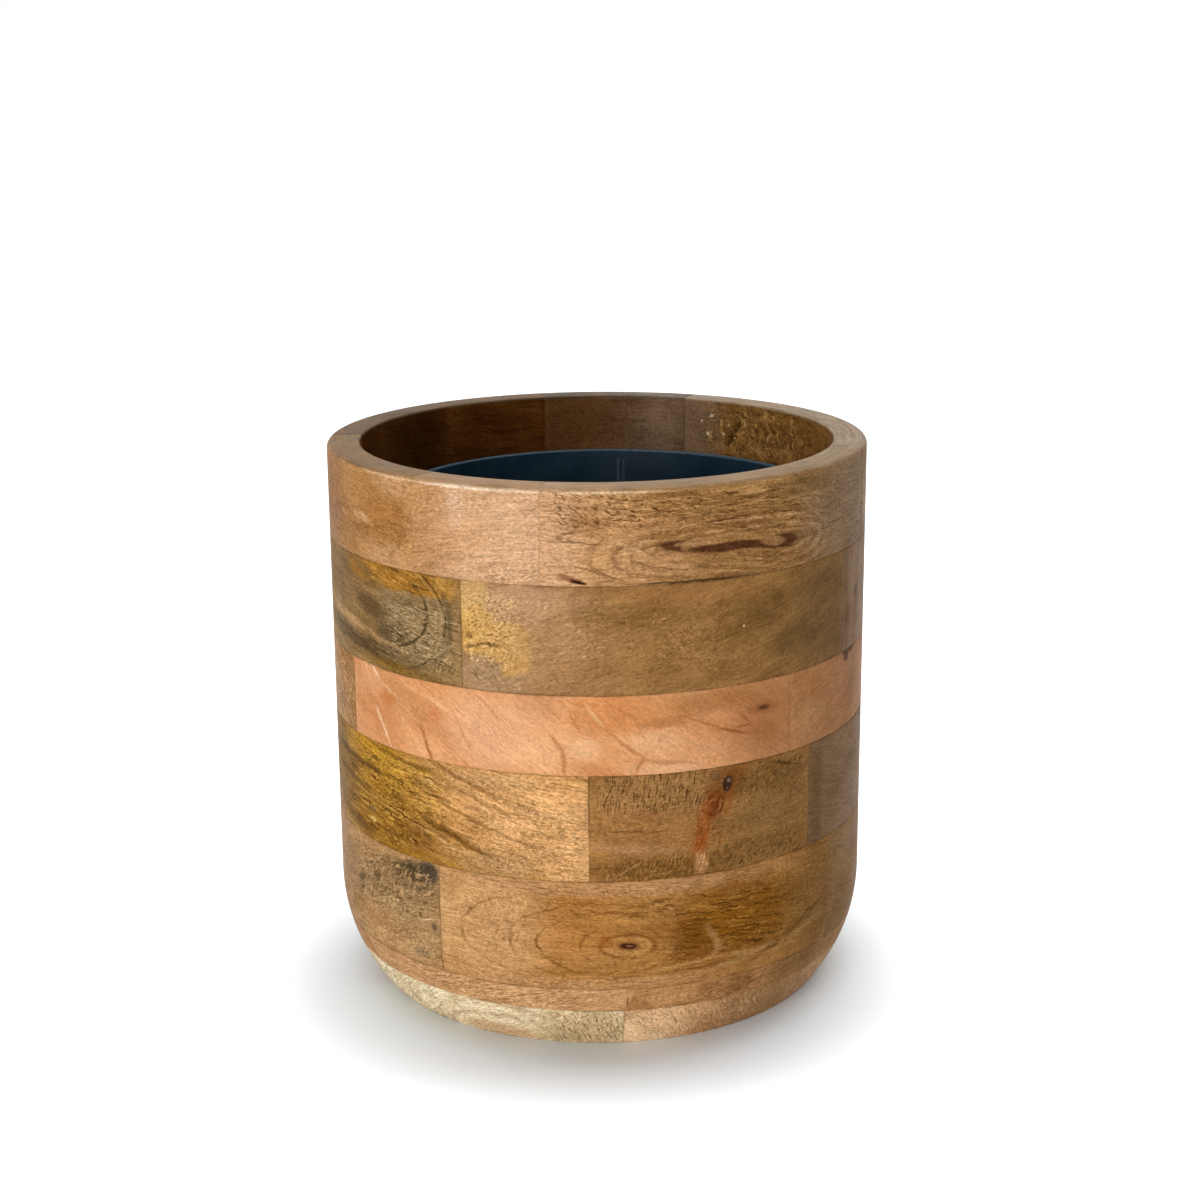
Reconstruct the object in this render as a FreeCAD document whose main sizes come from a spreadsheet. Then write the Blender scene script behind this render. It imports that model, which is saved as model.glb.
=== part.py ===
import FreeCAD, Part
import math
import os
import Sketcher

# A turned wooden cachepot with a loose plastic liner.
# The origin is on the floor under the middle of the pot, and -Y is the front.
# The wood is a stack of glued rings of arc blocks on a board of edge-glued planks.

doc = FreeCAD.newDocument("cachepot")
sheet = doc.addObject("Spreadsheet::Sheet", "Sizes")

# Driving dimensions in millimetres
SIZES = (
    # the turned wall
    ("outer_radius", 160.0),
    ("wall", 19.5),
    ("rim_height", 53.0),
    ("second_height", 61.0),
    ("third_height", 45.5),
    ("fourth_height", 61.5),
    ("fifth_height", 65.5),
    ("rim_outer_round", 3.0),
    ("rim_inner_round", 1.2),
    # the base board and the foot under it
    ("board_height", 15.0),
    ("end_plank_width", 27.6),
    ("foot_height", 27.5),
    ("foot_width", 22.5),
    # the large rounding from the wall down to the floor
    ("foot_inset", 23.5),
    ("shoulder_rise", 21.5),
    # the loose liner
    ("liner_gap", 12.5),
    ("liner_drop", 33.0),
    ("liner_wall", 2.0),
    ("liner_floor", 2.5),
    ("liner_taper", 21.0),
    ("liner_round", 5.0),
    ("liner_clearance", 0.3),
    ("lip_width", 1.4),
    ("lip_height", 5.0),
    ("lip_round", 1.3),
    ("rib_width", 4.0),
    ("rib_rise", 1.2),
    ("rib_drop", 6.0),
    # how far a cut runs past the wood
    ("overrun", 10.0),
)

for row, (alias, value) in enumerate(SIZES, start=1):
    sheet.set(f"A{row}", alias)
    sheet.set(f"B{row}", str(value))
    sheet.setAlias(f"B{row}", alias)
doc.recompute()

# Joints round each ring, as shares of a full turn from the front towards +X
FULL_TURN = 360.0
FRONT_ANGLE = -90.0
RIM_JOINT_SHARES = (-0.256, -0.109, -0.031, 0.200, 0.433, 0.539)
SECOND_JOINT_SHARES = (-0.077, 0.169, 0.417, 0.569, 0.722)
THIRD_JOINT_SHARES = (-0.171, 0.117, 0.347, 0.514, 0.644)
FOURTH_JOINT_SHARES = (-0.006, 0.134, 0.333, 0.528, 0.736)
FIFTH_JOINT_SHARES = (-0.096, 0.157, 0.389, 0.556, 0.708)
FOOT_JOINT_SHARES = (0.014, 0.208, 0.417, 0.597, 0.806)

# Turns of the planks and of the liner about the pot's axis, in degrees
BOARD_ANGLE = -27.2
LINER_ANGLE = -5.0

PLANK_COUNT = 7
RIB_COUNT = 4

# The liner stands to the right of the axis by this share of the gap round it
LINER_OFFSET_SHARE = 0.4

# Heights and radii that follow from the driving dimensions
OUTER = "Sizes.outer_radius"
INNER = "(Sizes.outer_radius - Sizes.wall)"
BOARD_BASE = "Sizes.foot_height"
FIFTH_BASE = "(Sizes.foot_height + Sizes.board_height)"
FOURTH_BASE = f"({FIFTH_BASE} + Sizes.fifth_height)"
THIRD_BASE = f"({FOURTH_BASE} + Sizes.fourth_height)"
SECOND_BASE = f"({THIRD_BASE} + Sizes.third_height)"
RIM_BASE = f"({SECOND_BASE} + Sizes.second_height)"
RIM_TOP = f"({RIM_BASE} + Sizes.rim_height)"
SHOULDER = f"({FIFTH_BASE} + Sizes.shoulder_rise)"
ROUNDING = f"(({SHOULDER} ^ 2 + Sizes.foot_inset ^ 2) / (2 * Sizes.foot_inset))"


def turned_radius(height):
    """Outer radius at a height on the large rounding between the shoulder and the floor."""
    return f"({OUTER} - {ROUNDING} + sqrt({ROUNDING} ^ 2 - ({SHOULDER} - {height}) ^ 2))"


FOOT_RADIUS = f"({OUTER} - Sizes.foot_inset)"
BOARD_RADIUS = turned_radius(FIFTH_BASE)


def number(expression):
    """Value of an expression over the sheet."""
    return float(sheet.evalExpression(expression))


def origin_plane(body, role):
    return next(plane for plane in body.Origin.OriginFeatures if plane.Role == role)


def add_body(name):
    body = doc.addObject("PartDesign::Body", name)
    body.Label = name
    return body


def fix_point(sketch, geometry, place, corner):
    """Ties one end of a sketch line to the two expressions of its corner."""
    for axis, kind, expression in ((-2, "DistanceX", corner[0]), (-1, "DistanceY", corner[1])):
        if expression == "0":
            sketch.addConstraint(Sketcher.Constraint("PointOnObject", geometry, place, axis))
            continue
        value = number(expression)
        index = sketch.addConstraint(Sketcher.Constraint(kind, -1, 1, geometry, place, value))
        sketch.setExpression(f"Constraints[{index}]", expression)


def add_outline(body, name, role, corners, arcs=None):
    """Closed sketch through corners given as expressions.

    arcs maps the number of a side to its radius and to the expressions of its centre.
    """
    arcs = arcs or {}
    sketch = body.newObject("Sketcher::SketchObject", name)
    sketch.AttachmentSupport = [(origin_plane(body, role), "")]
    sketch.MapMode = "FlatFace"
    points = [FreeCAD.Vector(number(across), number(up), 0) for across, up in corners]
    first_ends = []
    last_ends = []
    for side, start in enumerate(points):
        end = points[(side + 1) % len(points)]
        if side not in arcs:
            sketch.addGeometry(Part.LineSegment(start, end))
            first_ends.append(1)
            last_ends.append(2)
            continue
        radius, across, up = arcs[side]
        centre = FreeCAD.Vector(number(across), number(up), 0)
        angles = [math.atan2(point.y - centre.y, point.x - centre.x) for point in (start, end)]
        circle = Part.Circle(centre, FreeCAD.Vector(0, 0, 1), number(radius))
        turns_left = angles[1] > angles[0]
        sketch.addGeometry(Part.ArcOfCircle(circle, min(angles), max(angles)))
        first_ends.append(1 if turns_left else 2)
        last_ends.append(2 if turns_left else 1)
    for side, corner in enumerate(corners):
        before = side - 1 if side else len(corners) - 1
        join = Sketcher.Constraint("Coincident", before, last_ends[before], side, first_ends[side])
        sketch.addConstraint(join)
        fix_point(sketch, side, first_ends[side], corner)
    for side, (radius, across, up) in arcs.items():
        index = sketch.addConstraint(Sketcher.Constraint("Radius", side, number(radius)))
        sketch.setExpression(f"Constraints[{index}]", radius)
    return sketch


def add_turning(body, kind, name, sketch, angle):
    """Turns a sketch about the upright axis of its body, by an expression in degrees."""
    turning = body.newObject(kind, name)
    turning.Profile = sketch
    turning.ReferenceAxis = (sketch, ["V_Axis"])
    turning.setExpression("Angle", angle)
    return turning


def place_on_axis(body, base, angle):
    """Stands a body at a height on the pot's axis, turned about it."""
    body.Placement = FreeCAD.Placement(
        FreeCAD.Vector(0, 0, number(base)),
        FreeCAD.Rotation(FreeCAD.Vector(0, 0, 1), angle),
    )
    body.setExpression("Placement.Base.z", base)


# Ring sections, each drawn with its lower face at zero height


def plain_section(height):
    """A straight piece of the wall."""
    return [(INNER, "0"), (OUTER, "0"), (OUTER, height), (INNER, height)], {}


def rim_section(height):
    """The top ring, with both of its upper edges rounded."""
    outer_side = f"({OUTER} - Sizes.rim_outer_round)"
    outer_below = f"({height} - Sizes.rim_outer_round)"
    inner_side = f"({INNER} + Sizes.rim_inner_round)"
    inner_below = f"({height} - Sizes.rim_inner_round)"
    corners = [
        (INNER, "0"),
        (OUTER, "0"),
        (OUTER, outer_below),
        (outer_side, height),
        (inner_side, height),
        (INNER, inner_below),
    ]
    arcs = {
        2: ("Sizes.rim_outer_round", outer_side, outer_below),
        4: ("Sizes.rim_inner_round", inner_side, inner_below),
    }
    return corners, arcs


def rounding_arc(base):
    """The large rounding, seen from a piece whose lower face is at a height above the floor."""
    return ROUNDING, f"({OUTER} - {ROUNDING})", f"({SHOULDER} - {base})"


def fifth_section(height):
    """The lowest wall ring, which starts the large rounding."""
    corners = [
        (INNER, "0"),
        (turned_radius(FIFTH_BASE), "0"),
        (OUTER, "Sizes.shoulder_rise"),
        (OUTER, height),
        (INNER, height),
    ]
    return corners, {1: rounding_arc(FIFTH_BASE)}


def foot_section(height):
    """The ring under the board, which ends the large rounding on the floor."""
    inside = f"({FOOT_RADIUS} - Sizes.foot_width)"
    corners = [
        (inside, "0"),
        (FOOT_RADIUS, "0"),
        (turned_radius(height), height),
        (inside, height),
    ]
    return corners, {1: rounding_arc("0")}


RINGS = (
    ("rim_ring", rim_section, "Sizes.rim_height", RIM_BASE, RIM_JOINT_SHARES),
    ("second_ring", plain_section, "Sizes.second_height", SECOND_BASE, SECOND_JOINT_SHARES),
    ("third_ring", plain_section, "Sizes.third_height", THIRD_BASE, THIRD_JOINT_SHARES),
    ("fourth_ring", plain_section, "Sizes.fourth_height", FOURTH_BASE, FOURTH_JOINT_SHARES),
    ("fifth_ring", fifth_section, "Sizes.fifth_height", FIFTH_BASE, FIFTH_JOINT_SHARES),
    ("foot_ring", foot_section, "Sizes.foot_height", "0", FOOT_JOINT_SHARES),
)


def build_ring(ring, section, height, base, joint_shares):
    """Glued arc blocks, each from one joint to the next round the ring."""
    blocks = []
    following = joint_shares[1:] + (joint_shares[0] + 1,)
    for number_in_ring, (start, end) in enumerate(zip(joint_shares, following), start=1):
        name = f"{ring}_block_{number_in_ring}"
        body = add_body(name)
        corners, arcs = section(height)
        sketch = add_outline(body, f"{name}_section", "XZ_Plane", corners, arcs)
        span = (end - start) * FULL_TURN
        add_turning(body, "PartDesign::Revolution", f"{name}_arc", sketch, str(span))
        place_on_axis(body, base, FRONT_ANGLE + start * FULL_TURN)
        blocks.append(body)
    return blocks


def build_board():
    """Edge-glued planks turned to a round board; those between the two end planks are equally wide."""
    planks = []
    reach = f"({BOARD_RADIUS} + Sizes.overrun)"
    width = f"(({BOARD_RADIUS} - Sizes.end_plank_width) * 2 / ({PLANK_COUNT} - 2))"
    outermost = PLANK_COUNT // 2
    for place in range(-outermost, outermost + 1):
        name = f"base_plank_{place + outermost + 1}"
        body = add_body(name)
        near = f"({width} * ({place} - 1 / 2))" if place > -outermost else f"(-{reach})"
        far = f"({width} * ({place} + 1 / 2))" if place < outermost else reach
        corners = [(f"(-{reach})", near), (reach, near), (reach, far), (f"(-{reach})", far)]
        sketch = add_outline(body, f"{name}_outline", "XY_Plane", corners)
        pad = body.newObject("PartDesign::Pad", f"{name}_blank")
        pad.Profile = sketch
        pad.setExpression("Length", "Sizes.board_height")
        doc.recompute()
        blank_volume = pad.Shape.Volume
        lower = turned_radius(BOARD_BASE)
        outside = f"({BOARD_RADIUS} * 2 + Sizes.overrun)"
        below = "(-Sizes.overrun)"
        above = "(Sizes.board_height + Sizes.overrun)"
        waste = [
            (lower, below),
            (outside, below),
            (outside, above),
            (BOARD_RADIUS, above),
            (BOARD_RADIUS, "Sizes.board_height"),
            (lower, "0"),
        ]
        waste_sketch = add_outline(body, f"{name}_waste", "XZ_Plane", waste, {4: rounding_arc(BOARD_BASE)})
        groove = add_turning(body, "PartDesign::Groove", f"{name}_edge", waste_sketch, str(FULL_TURN))
        body.Tip = groove
        place_on_axis(body, BOARD_BASE, BOARD_ANGLE)
        doc.recompute()
        if not body.Shape.Volume < blank_volume:
            raise RuntimeError(f"{name}: turning the edge removed no wood")
        planks.append(body)
    return planks


def round_edges(body, name, base, radius, chosen):
    """Fillets the circular edges of a feature that the test picks by radius and height."""
    doc.recompute()
    names = []
    for index, edge in enumerate(base.Shape.Edges, start=1):
        if isinstance(edge.Curve, Part.Circle) and chosen(edge.Curve.Radius, edge.Curve.Center.z):
            names.append(f"Edge{index}")
    fillet = body.newObject("PartDesign::Fillet", name)
    fillet.Base = (base, names)
    fillet.setExpression("Radius", radius)
    return fillet


def build_liner():
    """Tapered moulded pot with a turned-out lip and upright ribs on its inner wall."""
    body = add_body("liner")
    base = f"({FIFTH_BASE} + Sizes.liner_clearance)"
    height = f"({RIM_TOP} - Sizes.liner_drop - {base})"
    lip_radius = f"({INNER} - Sizes.liner_gap)"
    top_radius = f"({lip_radius} - Sizes.lip_width)"
    lip_base = f"({height} - Sizes.lip_height)"

    def outside(level):
        return f"({top_radius} - Sizes.liner_taper * (1 - {level} / {height}))"

    def inside(level):
        return f"({outside(level)} - Sizes.liner_wall)"

    corners = [
        ("0", "0"),
        (outside("0"), "0"),
        (outside(lip_base), lip_base),
        (lip_radius, lip_base),
        (lip_radius, height),
        (inside(height), height),
        (inside("Sizes.liner_floor"), "Sizes.liner_floor"),
        ("0", "Sizes.liner_floor"),
    ]
    sketch = add_outline(body, "liner_section", "XZ_Plane", corners)
    shell = add_turning(body, "PartDesign::Revolution", "liner_shell", sketch, str(FULL_TURN))
    half_height = number(height) / 2
    floor_edges = round_edges(body, "liner_floor_edges", shell, "Sizes.liner_round",
                              lambda radius, level: level < half_height)
    lip_level = number(height)
    lip_edges = round_edges(body, "liner_lip_edges", floor_edges, "Sizes.lip_round",
                            lambda radius, level: math.isclose(level, lip_level))
    rib_top = f"({height} - Sizes.rib_drop)"
    rib_foot = "(Sizes.liner_floor / 2)"
    rib_corners = []
    for level in (rib_foot, rib_top):
        face = f"({inside(level)} - Sizes.rib_rise)"
        root = f"({inside(level)} + Sizes.liner_wall / 2)"
        rib_corners.append(((face, level), (root, level)))
    (low_face, low_root), (high_face, high_root) = rib_corners
    rib_sketch = add_outline(body, "liner_rib_section", "XZ_Plane", [low_face, low_root, high_root, high_face])
    rib_angle = f"({FULL_TURN} / (2 * pi) * Sizes.rib_width / {inside(rib_top)})"
    rib = add_turning(body, "PartDesign::Revolution", "liner_rib", rib_sketch, rib_angle)
    rib.Midplane = True
    doc.recompute()
    ribs = body.newObject("PartDesign::PolarPattern", "liner_ribs")
    ribs.Originals = [rib]
    ribs.Axis = (rib_sketch, ["V_Axis"])
    ribs.Angle = FULL_TURN
    ribs.Occurrences = RIB_COUNT
    body.Tip = ribs
    place_on_axis(body, base, LINER_ANGLE)
    body.setExpression("Placement.Base.x", f"Sizes.liner_gap * {LINER_OFFSET_SHARE}")
    return body


subparts = []
for ring_values in RINGS:
    subparts.extend(build_ring(*ring_values))
subparts.extend(build_board())
subparts.append(build_liner())
doc.recompute()

for item in doc.Objects:
    if "Invalid" in item.State or "Error" in item.State:
        raise RuntimeError(f"{item.Name} failed: {item.State}")
for subpart in subparts:
    if subpart.Shape.isNull() or not subpart.Shape.isValid():
        raise RuntimeError(f"{subpart.Label} has no valid shape")
    if len(subpart.Shape.Solids) != 1:
        raise RuntimeError(f"{subpart.Label} is not one solid")

os.makedirs("parts", exist_ok=True)
for subpart in subparts:
    subpart.Shape.exportStep(f"parts/{subpart.Label}.step")
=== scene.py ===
import math

import bpy
from mathutils import Matrix, Vector


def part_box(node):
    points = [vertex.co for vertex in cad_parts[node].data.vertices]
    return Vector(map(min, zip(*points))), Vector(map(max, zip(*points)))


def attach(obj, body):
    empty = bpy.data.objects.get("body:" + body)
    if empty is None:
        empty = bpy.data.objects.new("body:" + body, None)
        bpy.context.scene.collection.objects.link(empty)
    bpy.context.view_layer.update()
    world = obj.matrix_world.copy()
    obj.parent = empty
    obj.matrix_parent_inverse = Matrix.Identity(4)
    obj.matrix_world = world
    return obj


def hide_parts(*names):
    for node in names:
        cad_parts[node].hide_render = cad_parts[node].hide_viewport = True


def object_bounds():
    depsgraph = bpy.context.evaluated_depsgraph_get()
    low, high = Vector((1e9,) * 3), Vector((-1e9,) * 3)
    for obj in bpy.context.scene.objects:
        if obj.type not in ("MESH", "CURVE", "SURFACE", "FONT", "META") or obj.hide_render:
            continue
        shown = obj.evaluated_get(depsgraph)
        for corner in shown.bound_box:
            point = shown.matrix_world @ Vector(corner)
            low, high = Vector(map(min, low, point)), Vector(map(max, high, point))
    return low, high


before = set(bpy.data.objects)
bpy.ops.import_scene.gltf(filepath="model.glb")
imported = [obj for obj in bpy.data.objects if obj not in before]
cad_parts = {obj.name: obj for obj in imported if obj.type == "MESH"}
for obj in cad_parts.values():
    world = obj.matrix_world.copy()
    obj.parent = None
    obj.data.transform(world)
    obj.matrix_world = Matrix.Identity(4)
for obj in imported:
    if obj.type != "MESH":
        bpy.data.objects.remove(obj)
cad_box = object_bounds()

# A turned pot of glued wooden blocks with a loose plastic liner.
# Lengths are metres. Marks in the wood are placed in millimetres:
# along the wall from the front towards +X, and up from the floor.

MM = 0.001
ORIGIN = (0.0, 0.0, 0.0)
UPRIGHT = (0.0, 0.0, 1.0)
WHITE = (1.0, 1.0, 1.0, 1.0)
FRONT = -math.pi / 2.0
FULL_TURN = 2.0 * math.pi
IMAGE_SIZE = 1200

# Radii of the turned wood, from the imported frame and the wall's thickness
OUTER_RADIUS = cad_box[1].x
WALL = 19.5 * MM
INNER_RADIUS = OUTER_RADIUS - WALL
FOOT_RADIUS = 136.5 * MM
FOOT_INNER_RADIUS = 114.0 * MM
SHOULDER = 64.0 * MM
RIM_OUTER_ROUND = 3.0 * MM
RIM_INNER_ROUND = 1.2 * MM
ARRIS = 0.3 * MM
GIRTH_MM = FULL_TURN * OUTER_RADIUS / MM

# Radius of the large rounding between the shoulder and the floor
FOOT_INSET = OUTER_RADIUS - FOOT_RADIUS
ROUNDING = (SHOULDER**2 + FOOT_INSET**2) / (2.0 * FOOT_INSET)

# Joints round each ring, as shares of a full turn from the front towards +X
RINGS = {
    "rim": (-0.256, -0.109, -0.031, 0.200, 0.433, 0.539),
    "second": (-0.077, 0.169, 0.417, 0.569, 0.722),
    "third": (-0.171, 0.117, 0.347, 0.514, 0.644),
    "fourth": (-0.006, 0.134, 0.333, 0.528, 0.736),
    "fifth": (-0.096, 0.157, 0.389, 0.556, 0.708),
    "foot": (0.014, 0.208, 0.417, 0.597, 0.806),
}
PLANK_COUNT = 7

# How finely the blocks are divided, rounded and eased
STEP_ANGLE = math.radians(1.5)
ROW_HEIGHT = 5.0 * MM
WELD = 0.01 * MM
ROUND_SEGMENTS = 6
ARRIS_SEGMENTS = 2
ARRIS_ANGLE = math.radians(50.0)
SMOOTH_ANGLE = math.radians(35.0)

# Shine and relief of the finishes
WOOD_GLOSS = 0.01
WOOD_BUMP = 0.25
WOOD_RELIEF = 0.25 * MM
TOP_POLISH = 0.16
TOP_POLISH_ROUGHNESS = 0.22
LINER_GLOSS = 0.14
LINER_BUMP = 0.15
LINER_RELIEF = 0.1 * MM

# Each block's grain starts from its own seed
RING_SEED_STEP = 8
PLANK_SEED = 60
SEED_SHIFT = (37.1, 91.7, 53.3)

# Repeats per millimetre of the wood's patterns: along the grain, across it and in from the face
BEND_SCALE = (0.012, 0.03, 0.03)
PORE_SCALE = (0.16, 1.1, 1.1)
SANDING_SCALE = (0.05, 0.25, 0.25)
TOP_GRAIN_SCALE = (0.05, 0.3, 0.6)
RAGGED_SCALE = 0.1
GLUE_SCALE = 0.045
# Patchiness of the painted shade on the inner faces
INNER_SHADE_PATCH_SCALE = 0.04
TOP_SCALE = 0.05
GLOSS_SCALE = 0.03
FINE_GLOSS_SCALE = 0.9
OVAL_WIDTH_SCALE = 0.07
OVAL_BREAK_SCALE = 0.09
OVAL_BREAK_SHIFT = (5.0, 9.0, 2.0)

# Fine layers of the wood: their scale, what says how strong they are, and their weight
FINE_LAYERS = (
    ((0.45, 0.95, 0.95), "Speckle", 5.2),
    ((0.045, 0.8, 0.8), "Fibre", 3.8),
    ((0.035, 0.06, 0.06), "Speckle", 2.0),
)

# Streaks are finer than the broad figure and lie apart from it; growth lines waver with it
STREAK_FINENESS = (1.3, 2.8, 2.8)
STREAK_SHIFT = (7.3, 2.9, 5.1)
LINE_WAVER = 5.0

# Most of a noise lies between these levels
NOISE_LOW = 0.3
NOISE_HIGH = 0.7

# Power of a mark's round outline, what a boxy one adds to it, and the fade at an oval's open end
ROUND_POWER = 2.0
BOXY_GAIN = 6.0
OPEN_FADE = 0.15

# Noise level above which a tick is drawn: what its share takes off, its window's edge adds and its own fade
TICK_LEVEL = 0.78
TICK_SHARE = 0.4
TICK_WINDOW = 0.15
TICK_FADE = 0.09

# What multiplies the wood's colour in its pores, and where shade is painted on the inner faces
PORE_SHADE = (0.32, 0.26, 0.22, 1.0)
INNER_PAINTED_SHADE = (0.30, 0.24, 0.19, 1.0)

# Limits of the fine layers' shade, and the powers by which green and blue swing more than red
SHADE_LIMITS = (0.2, 1.8)
GREEN_SWING = 1.12
BLUE_SWING = 1.3

# The liner's axis, its top, its upright ribs and its lip, in millimetres; painted highlights run along the
# rib edges and the lip
LINER_MIDDLE = (5.0, 0.0, 0.0)
LINER_TOP = 296.0
RIB_BEARING = math.radians(5.0)
RIB_HALF_GAP = math.pi / 4.0
RIB_RADIUS = 123.5
RIB_HALF_WIDTH = 2.0
RIB_TOP = 290.0
RIB_TOP_FADE = 0.6
LIP_LOW = LINER_TOP - 0.9
LIP_HIGH = LINER_TOP - 0.1
FACING_IN = 0.1 * RIB_RADIUS
FACING_OUT = 0.5 * RIB_RADIUS
LINER_CLOUD_SCALE = 0.02
LINER_GRIT_SCALE = 1.6
LINER_SCUFF_SCALE = (0.15, 0.15, 0.9)

# Floor, room light, lamps and camera
FLOOR_SIDE = 40.0
FLOOR_COLOUR = (0.78, 0.85, 0.905, 1.0)
FLOOR_ROUGHNESS = 0.9
FLOOR_GLOSS = 0.1
# The floor's glow, seen directly, is painted light: nothing near the pot and full far from it, round a middle
# a little in front of the pot, so it sets how far the pot's shadow reaches
FLOOR_MIDDLE = (-0.008, -0.026, 0.0)
FLOOR_NEAR = 0.10
FLOOR_FAR = 0.28
ROOM_LEVEL = 0.15
LAMP_AIM = Vector((0.0, 0.0, 0.16))
LAMPS = {
    "window light": {
        "place": (-0.95, -2.5, 0.62),
        "width": 1.8,
        "depth": 1.8,
        "power": 53.0,
        "colour": (1.0, 0.98, 0.95),
    },
    "ceiling light": {
        "place": (0.0, 0.5, 2.1),
        "width": 3.2,
        "depth": 1.2,
        "power": 40.0,
        "colour": (1.0, 1.0, 1.0),
    },
}
LENS_MM = 66.0
SENSOR_MM = 36.0
CAMERA_PLACE = (0.0, -1.2932, 0.5657)
CAMERA_PITCH = math.radians(90.0 - 14.68)
CAMERA_ROLL = math.radians(-0.45)
CAMERA_SHIFT = 2.0 / IMAGE_SIZE


# Node helpers


def feed(socket, value):
    """Links a socket to another, or sets it to a plain value."""
    if isinstance(value, bpy.types.NodeSocket):
        socket.id_data.links.new(value, socket)
    else:
        socket.default_value = value


def feed_all(sockets, values):
    for key, value in values.items():
        feed(sockets[key], value)


def add_node(tree, kind, values=None, **settings):
    """New node with its settings; its inputs, by name or number, are linked or set."""
    node = tree.nodes.new(kind)
    for key, value in settings.items():
        setattr(node, key, value)
    feed_all(node.inputs, values or {})
    return node


def join_node(kind, values, **settings):
    """New node in the tree that its linked inputs come from; returns its outputs."""
    tree = next(value.id_data for value in values.values() if isinstance(value, bpy.types.NodeSocket))
    return add_node(tree, kind, values, **settings).outputs


def calc(operation, *terms, clamp=False):
    return join_node("ShaderNodeMath", dict(enumerate(terms)), operation=operation, use_clamp=clamp)[0]


def plus(first, second):
    return calc("ADD", first, second)


def minus(first, second):
    return calc("SUBTRACT", first, second)


def times(first, second):
    return calc("MULTIPLY", first, second)


def ratio(first, second):
    return calc("DIVIDE", first, second)


def vector_calc(operation, first, second):
    return join_node("ShaderNodeVectorMath", {0: first, 1: second}, operation=operation)[0]


def scaled(vector, factor):
    return join_node("ShaderNodeVectorMath", {0: vector, "Scale": factor}, operation="SCALE")[0]


def turned_back(vector, angle):
    """The vector turned by minus the angle, in the plane of its first two numbers."""
    values = {"Vector": vector, "Angle": times(angle, -1.0)}
    return join_node("ShaderNodeVectorRotate", values, rotation_type="Z_AXIS")[0]


def split(vector):
    return tuple(join_node("ShaderNodeSeparateXYZ", {"Vector": vector}))


def joined(x, y, z):
    return join_node("ShaderNodeCombineXYZ", {"X": x, "Y": y, "Z": z})[0]


def noise(place, scale=None, detail=2.0, roughness=0.5, shift=None, output="Fac"):
    """Noise over a place; its scale is one number, or one for each axis."""
    if isinstance(scale, float):
        place = scaled(place, scale)
    elif scale is not None:
        place = vector_calc("MULTIPLY", place, scale)
    if shift is not None:
        place = vector_calc("ADD", place, shift)
    values = {"Vector": place, "Scale": 1.0, "Detail": detail, "Roughness": roughness}
    return join_node("ShaderNodeTexNoise", values)[output]


def swayed(place, scale, reach, detail=2.0, roughness=0.5):
    """Offset in any direction by noise, up to half the reach."""
    clouds = noise(place, scale, detail, roughness, output="Color")
    return scaled(vector_calc("SUBTRACT", clouds, (0.5, 0.5, 0.5)), reach)


def ramped(value, low, high, to_low=0.0, to_high=1.0):
    """Smooth step from one level to the other."""
    values = {"Value": value, "From Min": low, "From Max": high, "To Min": to_low, "To Max": to_high}
    return join_node("ShaderNodeMapRange", values, interpolation_type="SMOOTHSTEP")[0]


def fading(value, low, high):
    """One below the first level, and nothing above the second."""
    return ramped(value, low, high, 1.0, 0.0)


def ranged(clouds, to_low=0.0, to_high=1.0):
    """Noise stretched from the levels it mostly has to others."""
    return ramped(clouds, NOISE_LOW, NOISE_HIGH, to_low, to_high)


def blended(share, first, second, mode="MIX"):
    values = {0: share, 6: first, 7: second}
    return join_node("ShaderNodeMix", values, data_type="RGBA", blend_type=mode)[2]


SOCKETS = {"number": "NodeSocketFloat", "vector": "NodeSocketVector", "colour": "NodeSocketColor"}


def start_group(name, inputs, outputs):
    """New node group from its socket names by kind; returns its tree, what it is given and what leaves it."""
    tree = bpy.data.node_groups.new(name, "ShaderNodeTree")
    for side, sockets in (("INPUT", inputs), ("OUTPUT", outputs)):
        for kind, labels in sockets.items():
            for label in labels:
                tree.interface.new_socket(name=label, in_out=side, socket_type=SOCKETS[kind])
    return tree, tree.nodes.new("NodeGroupInput").outputs, tree.nodes.new("NodeGroupOutput").inputs


def tone(red, green, blue):
    """Linear colour of an eight-bit screen colour."""
    linear = []
    for level in (red, green, blue):
        share = level / 255.0
        linear.append(share / 12.92 if share <= 0.04045 else ((share + 0.055) / 1.055) ** 2.4)
    return (*linear, 1.0)


GLUE = tone(58, 38, 24)
LINER_DARK = tone(8, 33, 48)
LINER_PALE = tone(62, 84, 98)


# Shared effects


def make_wall_place():
    """Unrolls the turned wood to millimetres along the wall, up from the floor and in from the face."""
    tree, given, leave = start_group(
        "wall place", {"number": ("Middle",)}, {"vector": ("Place",), "number": ("Radius",)}
    )
    coords = add_node(tree, "ShaderNodeTexCoord").outputs["Object"]
    x, y, z = split(turned_back(coords, given["Middle"]))
    bearing = calc("ARCTAN2", x, times(y, -1.0))
    along = times(plus(bearing, given["Middle"]), OUTER_RADIUS / MM)
    across = plus(times(x, x), times(y, y))
    radius = ratio(calc("SQRT", across), MM)
    up = ratio(z, MM)
    deep = minus(OUTER_RADIUS / MM, radius)
    feed(leave["Place"], joined(along, up, deep))
    feed(leave["Radius"], radius)
    return tree


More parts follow.
